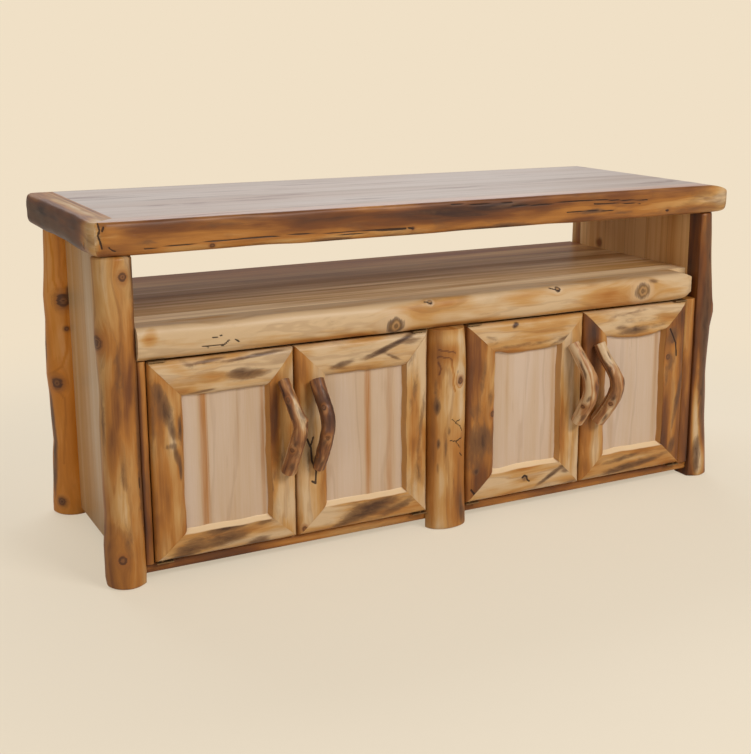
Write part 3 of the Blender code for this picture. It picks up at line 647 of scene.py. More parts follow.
def across_log(z, out, rise, depth, height):
    """The grain's place across a half log: its height on the face, and on round the flats from there."""
    reach = np.clip(depth - 0.012 - out, 0, None)
    over = z + np.where(rise > 0.99 * height, reach, 0.0)
    under = np.where(rise < 0.01 * height, -reach, 0.0)
    behind = np.where((out < 0.001) & (rise < 0.99 * height) & (rise > 0.01 * height), -depth - rise, 0.0)
    return over + under + behind


def round_corner(x, y, centre_x, centre_y, side, forward):
    """Draws points past a corner's centre in, so that each square turn becomes a quarter circle."""
    dx = side * (x - centre_x)
    dy = forward * (y - centre_y)
    outside = (dx > 0) & (dy > 0)
    shrink = np.where(outside, np.maximum(dx, dy) / np.maximum(np.hypot(dx, dy), 1e-9), 1.0)
    x = np.where(outside, centre_x + side * dx * shrink, x)
    return x, np.where(outside, centre_y + forward * dy * shrink, y)


RAIL_CORNER = 0.030
RAIL_KNOTS = [(0.5296, 0.5127, 0.0180), (-0.1495, 0.4950, 0.0180), (-0.0596, 0.5378, 0.0050),
              (0.2836, 0.5375, 0.0065)]
RAIL_CRACKS = [
    (0.0016, [(-0.566, 0.5135), (-0.556, 0.5128)]), (0.0018, [(-0.551, 0.5150), (-0.546, 0.5170)]),
    (0.0011, [(-0.590, 0.4960), (-0.545, 0.4965)]),
    (0.0018, [(-0.546, 0.4935), (-0.538, 0.4985), (-0.532, 0.5045)]),
    (0.0017, [(-0.518, 0.5045), (-0.510, 0.4990)]), (0.0014, [(-0.578, 0.4925), (-0.574, 0.4925)]),
    (0.0013, [(-0.074, 0.5400), (-0.064, 0.5385), (-0.058, 0.5345), (-0.054, 0.5385)]),
    (0.0013, [(0.262, 0.5415), (0.278, 0.5370), (0.286, 0.5330), (0.291, 0.5385)]),
]
low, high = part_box("shelf_front_rail")
depth = high.y - low.y
section_out, section_up = half_log_section(depth, high.z - low.z, 0.019, 0.033, squareness=0.80)
rows = round((high.x - low.x) / 0.0032)
x, column = np.meshgrid(np.linspace(low.x, high.x, rows), np.arange(len(section_out)), indexing="ij")
out, rise = section_out[column], section_up[column]
z = low.z + rise
face = on_face(out, depth)
place = np.stack([x, out, z], axis=-1)
out = out + face * (0.0024 * wander(place * (0.4, 1, 1), 0.055, 61) - 0.0010)
out = out + face * swell(x, z, RAIL_KNOTS, 0.0042, 1.7)
z = z + face * 0.0022 * wander(place * (0.35, 1, 1), 0.05, 62) * (rise > 0.02)
out = out - 0.0010 * (face * scratches(x, z, RAIL_CRACKS))
x, y = round_corner(x, high.y - out, high.x - RAIL_CORNER, low.y + RAIL_CORNER, 1, -1)
across = across_log(z, out, rise, depth, high.z - low.z)
# Its right end is trimmed to a blunt nose.
sunk = (1 - np.clip((high.x - x) / 0.055, 0, 1)) ** 2
z = np.clip(z, low.z + 0.028 * sunk, high.z + 0.002 - 0.018 * sunk)
piece = skin("shelf_front_rail_log", np.stack([x, y, z], axis=-1))
finish_log(piece, log_wood("shelf_front_rail_lacquer", base=0.08, seed=31.0, ring=0.18, smoke=0.10,
                           halo=(0.62, 0.42, 0.24), heart=(0.42, 0.225, 0.085)),
           "cabinet", ["shelf_front_rail"], x, across, knots=RAIL_KNOTS,
           dark=[(0.565, 0.534, 0.02, 0.006, 0, 0.45), (-0.300, 0.520, 0.05, 0.008, 3, 0.18),
                 (0.10, 0.50, 0.06, 0.006, 0, 0.15)],
           tones=[(-0.695, 0.527, 0.022, 0.016, 60, 0.50), (-0.560, 0.520, 0.14, 0.03, 0, -0.16),
                  # The browner bands along its lower round are partly painted shade on its underside.
                  (0.050, 0.482, 0.70, 0.007, 0, 0.34), (0.350, 0.492, 0.12, 0.010, 2, 0.25),
                  (0.40, 0.51, 0.10, 0.02, 0, 0.18), (0.600, 0.525, 0.06, 0.02, 0, 0.16),
                  (-0.25, 0.49, 0.10, 0.02, 0, 0.16), (0.20, 0.52, 0.05, 0.02, 0, 0.22),
                  (0.0, 0.50, 0.05, 0.02, 0, -0.1)],
           lines=RAIL_CRACKS, seed=4.4)

edge_low, edge_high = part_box("top_edge_front")
edge_height = edge_high.z - edge_low.z
edge_depth = edge_high.y - edge_low.y
top_out, top_up = half_log_section(edge_depth, edge_height, 0.010, 0.024, squareness=0.56)
back_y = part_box("top_panel")[1].y
CORNER = 0.034
REAR_CORNER = 0.024
NOSE = 0.075                                          # how far the right end is worn round
EDGES = {
    # Its smudges, tones, fine lines and knots are places along it and heights.
    "top_edge_front": dict(
        base=0.80, rows=520, smoke=0.45,
        dark=[(-0.700, 0.715, 0.030, 0.010, 10, 0.35), (-0.540, 0.742, 0.050, 0.006, 0, 0.45),
              (-0.290, 0.694, 0.050, 0.006, 0, 0.85), (-0.080, 0.740, 0.070, 0.006, 0, 0.40),
              (-0.100, 0.692, 0.050, 0.005, 0, 0.55), (0.060, 0.692, 0.110, 0.007, 2, 0.85),
              (0.160, 0.696, 0.060, 0.008, -4, 0.60), (0.130, 0.744, 0.050, 0.005, 6, 0.55),
              (0.380, 0.716, 0.045, 0.006, 0, 0.85), (0.470, 0.708, 0.030, 0.004, 0, 0.50),
              (0.250, 0.728, 0.080, 0.006, 0, 0.30)],
        tones=[(-0.650, 0.735, 0.12, 0.02, 0, 0.16), (-0.340, 0.732, 0.05, 0.016, 0, 0.15),
               (-0.245, 0.733, 0.06, 0.016, 0, 0.22), (-0.500, 0.698, 0.25, 0.007, 0, -0.35),
               (-0.180, 0.702, 0.10, 0.007, 0, -0.25), (0.050, 0.725, 0.12, 0.02, 0, 0.12),
               (0.560, 0.722, 0.12, 0.03, 0, -0.20), (0.740, 0.725, 0.06, 0.04, 0, -0.50),
               (0.300, 0.738, 0.10, 0.012, 0, -0.15), (0.060, 0.722, 0.24, 0.02, 0, 0.34),
               (0.020, 0.742, 0.30, 0.010, 0, 0.35),
               (0.780, 0.725, 0.03, 0.05, 0, -0.50), (-0.805, 0.730, 0.018, 0.05, 0, -0.70),
               (-0.760, 0.740, 0.020, 0.012, 0, -0.15)],
        lines=[(0.0012, [(-0.700, 0.7040), (-0.610, 0.7075), (-0.500, 0.7110), (-0.400, 0.7115),
                         (-0.300, 0.7095), (-0.230, 0.7100), (-0.160, 0.7085), (-0.120, 0.7080)]),
               (0.0010, [(-0.300, 0.7020), (-0.200, 0.7050), (-0.120, 0.7070)]),
               (0.0020, [(-0.115, 0.7080), (-0.105, 0.7065)]),
               (0.0011, [(-0.010, 0.7540), (0.060, 0.7500), (0.110, 0.7480), (0.150, 0.7500)]),
               (0.0013, [(0.150, 0.7420), (0.220, 0.7400), (0.300, 0.7430), (0.380, 0.7430),
                         (0.470, 0.7370), (0.540, 0.7350)]),
               (0.0012, [(0.380, 0.7330), (0.450, 0.7310), (0.520, 0.7270)]),
               (0.0013, [(0.300, 0.7180), (0.360, 0.7190), (0.440, 0.7140)]),
               (0.0016, [(0.595, 0.7060), (0.603, 0.7052)]),
               (0.0024, [(-0.7900, 0.7570), (-0.7865, 0.7450), (-0.7915, 0.7350), (-0.7865, 0.7240),
                         (-0.7830, 0.7100)]),
               (0.0020, [(-0.7780, 0.7520), (-0.7800, 0.7440)]),
               (0.0015, [(-0.7700, 0.7120), (-0.7640, 0.7060), (-0.7560, 0.7030)])],
        knots=[(-0.105, 0.7070, 0.0035), (0.600, 0.7055, 0.0035), (-0.560, 0.7010, 0.0045)]),
    "top_edge_left": dict(
        base=1.30, rows=190, smoke=0.30, bulge=0.0050,
        dark=[(0.250, 0.725, 0.10, 0.018, 0, 0.60), (0.100, 0.715, 0.10, 0.016, 0, 0.65),
              (-0.050, 0.708, 0.08, 0.014, 0, 0.60), (0.270, 0.742, 0.05, 0.008, 0, 0.50),
              (-0.190, 0.706, 0.020, 0.005, 20, 0.75)],
        tones=[(-0.270, 0.725, 0.085, 0.06, 0, -1.10), (0.050, 0.790, 0.45, 0.037, 0, -0.92),
               (0.080, 0.801, 0.26, 0.0035, 0, 0.55), (0.080, 0.790, 0.26, 0.0022, 0, 0.40)],
        lines=[(0.0016, [(-0.200, 0.704), (-0.206, 0.716)])]),
    "top_edge_right": dict(
        base=0.40, rows=190, smoke=0.30,
        dark=[(0.100, 0.715, 0.10, 0.012, 0, 0.45), (0.250, 0.735, 0.05, 0.008, 0, 0.40)],
        tones=[(-0.225, 0.725, 0.050, 0.05, 0, -0.45)],
        lines=[(0.0014, [(-0.150, 0.709), (0.000, 0.712), (0.120, 0.708)])],
        knots=[(0.020, 0.728, 0.010)]),
}
inner_x = edge_high.x - edge_depth
inner_y = edge_high.y
for seed, (name, edge) in enumerate(EDGES.items(), 1):
    share, column = np.meshgrid(np.linspace(-1, 1, edge["rows"]), np.arange(len(top_out)), indexing="ij")
    out, rise = top_out[column], top_up[column]
    z = edge_low.z + rise
    face = on_face(out, edge_depth)
    in_front = name == "top_edge_front"
    side = -1 if name.endswith("left") else 1
    knots = edge.get("knots", ())
    if in_front:
        run = share * (inner_x + out)
        from_mitre = inner_x + edge_depth - np.abs(run)
    else:
        start = inner_y - out
        run = start + (share + 1) / 2 * (back_y - start)
        from_mitre = run - (inner_y - edge_depth)
    place = np.stack([run, out, z], axis=-1)
    away = np.clip(from_mitre / 0.09, 0, 1)
    waver = away * (0.0030 * wander(place * (0.45, 1, 1), 0.060, seed + 70)
                    + 0.0011 * wander(place * (0.4, 1, 1), 0.020, seed + 75)) - 0.0008
    out = out + face * (waver + swell(run, z, knots, 0.0020))
    out = out + face * edge.get("bulge", 0.0) * np.clip((run - 0.17) / 0.10, 0, 1) ** 1.5
    flat = (rise > 0.99 * edge_height) * np.clip((edge_depth - 0.0085 - out) / 0.002, 0, 1)
    # The planed face of the top meets the round of the log along a wavering line.
    dip = np.clip((out - (edge_depth - 0.014)) / 0.014, 0, 1) ** 2 * (rise > 0.6 * edge_height)
    z = z - dip * away * np.clip(0.001 + 0.004 * wander(place * (0.5, 0, 0), 0.07, seed + 80), 0, 0.004)
    z = z + face * (rise < 0.35 * edge_height) * away * np.clip(
        0.003 * wander(place * (0.6, 0, 0), 0.06, seed + 85), -0.001, 0.004)
    out = out - 0.0014 * (face * scratches(run, z, edge["lines"]))
    if in_front:
        x, y = share * (inner_x + out), inner_y - out
        front_corners = (-1, 1)
    else:
        start = inner_y - out
        x, y = side * (inner_x + out), start + (share + 1) / 2 * (back_y - start)
        front_corners = (side,)
    for way in front_corners:
        x, y = round_corner(x, y, way * (edge_high.x - CORNER), inner_y - edge_depth + CORNER, way, -1)
    if not in_front:
        x, y = round_corner(x, y, side * (edge_high.x - REAR_CORNER), back_y - REAR_CORNER, side, 1)
    # At the stand's right end the log is worn down to a round nose.
    sunk = 1 - np.sqrt(1 - (1 - np.clip((edge_high.x - x) / NOSE, 0, 1)) ** 2)
    across = across_log(z, out, rise, edge_depth, edge_height)
    z = np.clip(z, edge_low.z + 0.018 * sunk, edge_high.z - 0.036 * sunk)
    piece = skin(name + "_log", np.stack([x, y, z], axis=-1))
    # The left end log keeps its skin on top. The others are planed with the boards and take their colour,
    # with its painted sheen.
    mark(piece, planed=flat * (name != "top_edge_left"))
    wood = log_wood(name + "_lacquer", base=edge["base"], smoke=edge["smoke"], seed=seed * 7.7 + 2,
                    planed=True)
    finish_log(piece, wood, "cabinet", [name], run, across, knots=knots, dark=edge["dark"],
               tones=edge["tones"], lines=edge["lines"], seed=seed * 2.3)

# The planed boards of the top lie inside the logs, with their joints along the stand. Their pale colour is
# partly a painted sheen.
n = Nodes("top_panel_lacquer")
place = n.add("TexCoord").outputs["Object"]
colour, patches, bands = boards_with_painted_sheen(n, place)
fibres = n.noise(n.stretch(place, (14.0, 420.0, 1.0)), 2.0, 0.6)
height = n.math("MULTIPLY_ADD", bands, 0.4, n.math("MULTIPLY", fibres, 0.2))
n.surface(Base_Color=colour, Roughness=n.math("MULTIPLY_ADD", patches, 0.20, 0.30),
          Normal=n.relief(height, 0.18, 0.0006), Coat_Weight=0.55, Coat_Roughness=0.22)
finish_node("top_panel", n.material)


# ---------------------------------------------------------------------------------------------------
# The middle post: half a log with its bark side out, standing on the floor between the doors.

low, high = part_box("centre_post")
half_width = (high.x - low.x) / 2
middle_x = (low.x + high.x) / 2
depth = high.y - low.y
rows = round((high.z - low.z) / 0.0026)
z, turn = np.meshgrid(np.linspace(low.z, high.z, rows), np.linspace(-1.0, 1.0, 53), indexing="ij")
angle = turn * math.pi / 2
across = half_width * np.sin(angle)
place = np.stack([across, z * 0, z], axis=-1)
waver = 1 + 0.050 * wander(place * (1, 1, 0.5), 0.05, 95) + 0.02 * wander(place * (1, 1, 0.4), 0.02, 96)
lift = swell(z, across, [(0.3537, 0.020, 0.014), (0.425, -0.02, 0.012), (0.290, -0.035, 0.008)], 0.0024)
# It is a little wider on its right lower down, and rounded over at its right top corner.
right_edge = np.interp(z, [0.0, 0.10, 0.20, 0.38, 0.44, 0.474],
                       [0.0525, 0.0490, 0.0485, 0.0505, 0.0475, 0.0430])
left_edge = np.interp(z, [0.0, 0.10, 0.40, 0.474], [0.0480, 0.0480, 0.0465, 0.0440])
x = middle_x + np.where(angle > 0, right_edge, left_edge) * np.sin(angle)
y = high.y - (depth * np.cos(angle) ** 0.8) * (waver - 0.02) - lift * np.cos(angle)
y = np.minimum(y, high.y)
tuck = 0.006 * (1 - np.sqrt(np.clip(1 - (1 - np.clip((z - low.z) / 0.006, 0, 1)) ** 2, 0, 1)))
y = np.minimum(y + tuck, high.y)
piece = skin("centre_post_log", np.stack([x, y, z], axis=-1))
# An eye of grain round the knot, and the curls above it.
eye = [(0.3560 + 0.019 * math.cos(turn), 0.0190 + 0.0105 * math.sin(turn)) for turn in np.arange(11) * 0.6]
curls = [(0.0018, eye),
         (0.0013, [(0.4300, -0.034), (0.4270, -0.026), (0.4275, -0.018), (0.4240, -0.010),
                   (0.4250, -0.002), (0.4200, 0.006)]),
         (0.0013, [(0.4120, -0.036), (0.4150, -0.030), (0.4110, -0.022), (0.4120, -0.012),
                   (0.4060, -0.004)]),
         (0.0016, [(0.4060, -0.004), (0.3900, -0.002), (0.3700, 0.002), (0.3500, 0.000), (0.3300, 0.006)]),
         (0.0016, [(0.4000, -0.034), (0.3860, -0.028), (0.3720, -0.032)])]
wood = log_wood("centre_post_lacquer", base=0.46, seed=44.0, ring=0.26, smoke=0.15)
finish_log(piece, wood, "cabinet", ["centre_post"], z, across, knots=[(0.3537, 0.0200, 0.0068)],
           dark=[(0.295, -0.035, 0.022, 0.006, 0, 0.90), (0.340, -0.038, 0.030, 0.004, 0, 0.45),
                 (0.208, -0.032, 0.014, 0.004, 0, 0.75), (0.206, -0.015, 0.034, 0.004, 0, 0.60),
                 (0.238, -0.008, 0.014, 0.004, 0, 0.55), (0.150, -0.033, 0.020, 0.003, 0, 0.45),
                 (0.052, 0.026, 0.045, 0.006, 0, 0.80), (0.030, 0.036, 0.030, 0.008, 0, 0.50),
                 (0.100, 0.005, 0.030, 0.003, 0, 0.35), (0.376, 0.012, 0.006, 0.004, 0, 0.40)],
           veins=curls,
           tones=[(0.418, -0.016, 0.020, 0.030, 0, 0.14), (0.455, 0.000, 0.016, 0.040, 0, -0.30),
                  (0.366, 0.020, 0.028, 0.014, 0, -0.50), (0.395, 0.030, 0.020, 0.010, 0, 0.30),
                  (0.200, -0.044, 0.200, 0.008, 0, 0.35), (0.250, 0.020, 0.050, 0.020, 0, -0.12),
                  (0.060, 0.020, 0.050, 0.030, 0, 0.20), (0.330, 0.040, 0.060, 0.008, 0, 0.20)],
           lines=[(0.0013, [(0.2654, -0.0019), (0.2573, 0.0081), (0.2610, 0.0217)]),
                  (0.0013, [(0.2556, 0.0081), (0.2453, 0.0219), (0.2332, 0.0282)]),
                  (0.0013, [(0.2157, -0.0056), (0.2106, 0.0099), (0.2165, 0.0272)]),
                  (0.0013, [(0.2106, 0.0099), (0.1935, 0.0225)]),
                  (0.0013, [(0.1807, 0.0215), (0.1721, 0.0291)])],
           seed=6.1)


# ---------------------------------------------------------------------------------------------------
# The four doors. Each is a mitred frame of half-round aspen with its waney edges left on, round a flat
# panel of glued boards set back from the face. The frames are lacquered honey and the panels paler.

HUNG_AT = {"door_1": "left", "door_2": "right", "door_3": "left", "door_4": "right"}
MEMBERS = {
    # The tone, how far the live inner edge bows in at its middle, and as (x, z) the knots, smudges, tones
    # and fine lines.
    "door_1_rail_top": dict(
        base=0.1, bow=0.002,
        dark=[(-0.490, 0.425, 0.042, 0.012, 2, 0.75), (-0.514, 0.435, 0.024, 0.007, 10, 0.50),
              (-0.470, 0.463, 0.074, 0.004, 4, 0.85), (-0.575, 0.463, 0.038, 0.004, 5, 0.75),
              (-0.591, 0.400, 0.033, 0.004, 5, 0.70), (-0.617, 0.459, 0.023, 0.008, -30, 0.35)],
        tones=[(-0.566, 0.437, 0.033, 0.014, 0, 0.18), (-0.640, 0.453, 0.028, 0.011, -30, 0.15),
               (-0.421, 0.436, 0.030, 0.019, 0, -0.15)]),
    "door_1_rail_bottom": dict(
        base=0.3, bow=0.001,
        dark=[(-0.534, 0.099, 0.064, 0.012, 8, 0.85), (-0.550, 0.071, 0.059, 0.013, 6, 0.75),
              (-0.632, 0.065, 0.043, 0.018, 15, 0.65), (-0.657, 0.043, 0.038, 0.010, 15, 0.75),
              (-0.476, 0.049, 0.030, 0.015, 6, 0.70), (-0.460, 0.094, 0.025, 0.007, 6, 0.60)],
        tones=[(-0.414, 0.081, 0.036, 0.030, 0, -0.22), (-0.608, 0.067, 0.097, 0.020, 10, 0.14),
               (-0.665, 0.083, 0.014, 0.015, 0, -0.10)]),
    "door_1_stile_hinge": dict(
        base=0.66, bow=0.002,
        dark=[(-0.683, 0.412, 0.013, 0.027, 15, 0.65), (-0.669, 0.369, 0.015, 0.035, 12, 0.85),
              (-0.655, 0.325, 0.008, 0.023, 10, 0.75), (-0.639, 0.328, 0.004, 0.033, 0, 0.90),
              (-0.661, 0.293, 0.014, 0.007, 0, 0.50), (-0.648, 0.268, 0.007, 0.024, 10, 0.75),
              (-0.642, 0.238, 0.004, 0.024, 0, 0.85), (-0.693, 0.335, 0.006, 0.042, 0, 0.35),
              (-0.707, 0.087, 0.012, 0.034, 0, 0.45)],
        tones=[(-0.688, 0.189, 0.028, 0.081, 0, 0.28), (-0.689, 0.381, 0.018, 0.051, 0, 0.25),
               (-0.651, 0.297, 0.009, 0.012, 0, -0.30), (-0.646, 0.138, 0.012, 0.029, 0, -0.20),
               (-0.699, 0.451, 0.009, 0.023, 0, -0.10)]),
    "door_1_stile_pull": dict(
        base=0.36, bow=0.001,
        dark=[(-0.443, 0.164, 0.005, 0.017, 0, 0.75), (-0.422, 0.232, 0.013, 0.059, 0, 0.30),
              (-0.437, 0.195, 0.006, 0.015, 0, 0.30)],
        tones=[(-0.433, 0.303, 0.013, 0.118, 0, 0.34), (-0.408, 0.120, 0.031, 0.045, 0, -0.22),
               (-0.406, 0.420, 0.020, 0.024, 0, -0.15), (-0.396, 0.198, 0.010, 0.030, 0, -0.10)]),
    "door_2_rail_top": dict(
        base=0.08, bow=0.001,
        dark=[(-0.149, 0.452, 0.079, 0.005, 18, 0.95), (-0.174, 0.439, 0.045, 0.004, 18, 0.80),
              (-0.272, 0.421, 0.032, 0.008, 14, 0.80), (-0.152, 0.425, 0.026, 0.004, -25, 0.60),
              (-0.096, 0.457, 0.033, 0.007, 10, 0.45)],
        tones=[(-0.361, 0.455, 0.024, 0.011, 0, 0.35), (-0.225, 0.463, 0.070, 0.008, 5, 0.22),
               (-0.149, 0.413, 0.052, 0.006, 8, -0.10)]),
    "door_2_rail_bottom": dict(
        base=0.24, bow=0.001,
        dark=[(-0.208, 0.080, 0.073, 0.021, 14, 0.85), (-0.142, 0.068, 0.047, 0.010, 16, 0.75),
              (-0.260, 0.059, 0.052, 0.007, 10, 0.60), (-0.228, 0.106, 0.039, 0.005, 14, 0.45),
              (-0.109, 0.041, 0.041, 0.005, 8, 0.60)],
        tones=[(-0.208, 0.081, 0.100, 0.025, 12, 0.20), (-0.337, 0.067, 0.038, 0.018, 0, -0.12),
               (-0.081, 0.084, 0.027, 0.019, 0, 0.10)]),
    "door_2_stile_pull": dict(
        base=0.34, bow=0.002,
        knots=[(-0.3680, 0.0592, 0.0055)],
        dark=[(-0.356, 0.215, 0.005, 0.036, 0, 0.40), (-0.329, 0.187, 0.010, 0.018, 0, 0.35),
              (-0.375, 0.312, 0.006, 0.064, 0, 0.30)],
        tones=[(-0.365, 0.398, 0.018, 0.063, 0, 0.30), (-0.355, 0.107, 0.037, 0.067, 0, -0.16),
               (-0.346, 0.267, 0.015, 0.035, 0, 0.10)],
        lines=[(0.0024, [(-0.3593, 0.2644), (-0.3499, 0.2429), (-0.3491, 0.2142), (-0.3397, 0.1900),
                         (-0.3402, 0.1601), (-0.3487, 0.1664)]),
               (0.0022, [(-0.3446, 0.2669), (-0.3498, 0.2499)])]),
    "door_2_stile_hinge": dict(
        base=0.22, bow=0.001,
        dark=[(-0.096, 0.340, 0.009, 0.055, -8, 0.45), (-0.077, 0.270, 0.006, 0.074, -6, 0.50),
              (-0.085, 0.154, 0.008, 0.057, 0, 0.35), (-0.103, 0.419, 0.009, 0.024, -15, 0.35)],
        tones=[(-0.102, 0.262, 0.016, 0.112, 0, 0.22), (-0.075, 0.146, 0.014, 0.082, 0, 0.16),
               (-0.109, 0.176, 0.009, 0.056, 0, -0.15)]),
    "door_3_stile_hinge": dict(
        base=0.68, bow=0.002,
        knots=[(0.1131, 0.2552, 0.0064)],
        dark=[(0.080, 0.194, 0.039, 0.040, 0, 0.75), (0.065, 0.142, 0.026, 0.029, 0, 0.45),
              (0.068, 0.267, 0.022, 0.023, 0, 0.45), (0.083, 0.338, 0.008, 0.051, -8, 0.55),
              (0.055, 0.353, 0.006, 0.050, 0, 0.35), (0.069, 0.120, 0.009, 0.008, 0, 0.85),
              (0.104, 0.296, 0.008, 0.028, 0, 0.40)],
        tones=[(0.082, 0.093, 0.026, 0.035, 0, 0.20), (0.064, 0.396, 0.025, 0.044, 0, 0.10),
               (0.091, 0.387, 0.013, 0.034, 0, -0.15)],
        lines=[(0.0026, [(0.0566, 0.0769), (0.0645, 0.0657), (0.0774, 0.0652)])]),
    "door_3_rail_top": dict(
        base=0.3, bow=0.009,
        dark=[(0.171, 0.461, 0.009, 0.005, 30, 0.95), (0.175, 0.465, 0.0052, 0.0033, 0, 0.70),
              (0.311, 0.416, 0.062, 0.006, 18, 0.55), (0.166, 0.412, 0.072, 0.006, 3, 0.40),
              (0.108, 0.430, 0.026, 0.014, -30, 0.30), (0.244, 0.412, 0.047, 0.005, 10, 0.40)],
        tones=[(0.204, 0.436, 0.114, 0.012, 4, 0.18), (0.337, 0.445, 0.027, 0.017, 0, -0.15),
               (0.113, 0.457, 0.032, 0.011, 0, -0.05)]),
    "door_3_rail_bottom": dict(
        base=0.16, bow=0.003,
        dark=[(0.207, 0.081, 0.010, 0.008, 20, 0.55), (0.285, 0.080, 0.056, 0.006, 28, 0.85),
              (0.323, 0.086, 0.014, 0.010, 0, 0.65), (0.353, 0.051, 0.028, 0.006, 0, 0.50),
              (0.175, 0.036, 0.081, 0.004, 8, 0.60)],
        tones=[(0.338, 0.056, 0.043, 0.024, 0, 0.35), (0.188, 0.052, 0.096, 0.008, 8, 0.25),
               (0.134, 0.096, 0.033, 0.024, 0, -0.10), (0.233, 0.109, 0.062, 0.006, 6, 0.20)],
        lines=[(0.0024, [(0.1991, 0.0841), (0.2044, 0.0891), (0.2112, 0.0857), (0.2141, 0.0757),
                         (0.2196, 0.0724)])]),
    "door_3_stile_pull": dict(
        base=0.18, bow=0.002,
        dark=[(0.373, 0.185, 0.006, 0.012, 0, 0.85), (0.366, 0.087, 0.006, 0.013, 0, 0.95),
              (0.345, 0.235, 0.011, 0.036, 0, 0.25)],
        tones=[(0.311, 0.234, 0.011, 0.144, 0, 0.34), (0.369, 0.332, 0.014, 0.065, 0, -0.10),
               (0.349, 0.133, 0.028, 0.036, 0, -0.10)],
        lines=[(0.0022, [(0.3706, 0.1777), (0.3737, 0.1533), (0.3733, 0.1293)])]),
    "door_4_stile_pull": dict(
        base=0.66, bow=0.002,
        dark=[(0.381, 0.221, 0.009, 0.033, 0, 0.45), (0.389, 0.328, 0.008, 0.054, 0, 0.35)],
        tones=[(0.395, 0.412, 0.019, 0.043, 0, 0.28), (0.389, 0.263, 0.016, 0.066, 0, 0.30),
               (0.414, 0.122, 0.033, 0.039, 0, -0.12), (0.390, 0.076, 0.013, 0.022, 0, 0.20)]),
    "door_4_rail_top": dict(
        base=0.24, bow=0.011,
        dark=[(0.518, 0.414, 0.047, 0.010, 3, 0.80), (0.478, 0.425, 0.020, 0.006, 0, 0.60),
              (0.536, 0.441, 0.074, 0.010, 3, 0.32), (0.591, 0.419, 0.034, 0.007, 8, 0.45),
              (0.515, 0.459, 0.080, 0.004, 6, 0.35)],
        tones=[(0.617, 0.432, 0.041, 0.019, 0, 0.28), (0.451, 0.449, 0.039, 0.011, 0, 0.08),
               (0.649, 0.462, 0.028, 0.011, 0, -0.10)]),
    "door_4_rail_bottom": dict(
        base=0.4, bow=0.003,
        dark=[(0.510, 0.062, 0.083, 0.010, 5, 0.85), (0.488, 0.086, 0.068, 0.007, 5, 0.60),
              (0.605, 0.076, 0.056, 0.007, 8, 0.45), (0.558, 0.040, 0.063, 0.006, 6, 0.60)],
        tones=[(0.536, 0.070, 0.111, 0.017, 5, 0.22), (0.436, 0.080, 0.027, 0.023, 0, -0.10),
               (0.648, 0.046, 0.028, 0.018, 0, 0.30)]),
    "door_4_stile_hinge": dict(
        base=0.84, bow=0.002,
        knots=[(0.6280, 0.3339, 0.0058), (0.6400, 0.3730, 0.0040)],
        dark=[(0.611, 0.362, 0.006, 0.050, 0, 0.85), (0.641, 0.386, 0.021, 0.028, -30, 0.65),
              (0.638, 0.320, 0.015, 0.034, 0, 0.50), (0.665, 0.221, 0.008, 0.086, -10, 0.70),
              (0.677, 0.349, 0.006, 0.051, 0, 0.45), (0.652, 0.097, 0.011, 0.023, -20, 0.85),
              (0.626, 0.282, 0.007, 0.034, 0, 0.45), (0.688, 0.092, 0.007, 0.053, 0, 0.40)],
        tones=[(0.631, 0.214, 0.014, 0.092, 0, 0.20), (0.665, 0.428, 0.017, 0.033, 0, 0.15),
               (0.690, 0.263, 0.008, 0.103, 0, -0.15)],
        lines=[(0.0024, [(0.6310, 0.4059), (0.6419, 0.3860), (0.6513, 0.3673), (0.6555, 0.3346)])]),
}


OUTER_ROUND = 0.0095
INNER_ROUND = 0.0120
SLOPE_DEPTH = 0.0165                                  # of an inner edge that is sawn to a slope
FACE_COLUMNS = 22
MEMBER_STEP = 0.0028


def member_section(width, thickness, bevel):
    """From the sawn back at the outer edge, round the face, to the back at the inner edge and home, as
    (share of the width, out from the back). The inner edge is rounded, or sawn to a slope."""
    outer = OUTER_ROUND / width
    inner = (bevel or INNER_ROUND) / width
    rows = [(0.0, thickness - OUTER_ROUND)]
    for step in range(1, 7):
        turn = math.pi / 2 * step / 6
        rows.append((outer * (1 - math.cos(turn)), thickness - OUTER_ROUND * (1 - math.sin(turn))))
    for share in np.linspace(outer, 1 - inner, FACE_COLUMNS)[1:-1]:
        rows.append((share, thickness))
    for step in range(7):
        turn = math.pi / 2 * (1 - step / 6)
        if bevel:
            rows.append((1 - inner * (1 - step / 6), thickness - SLOPE_DEPTH * step / 6))
        else:
            rows.append((1 - inner * (1 - math.cos(turn)), thickness - INNER_ROUND * (1 - math.sin(turn))))
    rows += [(1.0, 0.004), (1.0, 0.0), (0.66, 0.0), (0.33, 0.0), (0.0, 0.0), (0.0, thickness * 0.35)]
    return np.array(rows)


def turned_upright(marks):
    """The same oval marks for wood whose grain runs up, where along comes before across."""
    return [(z, x, tall, wide, -lean, strength) for x, z, wide, tall, lean, strength in marks]


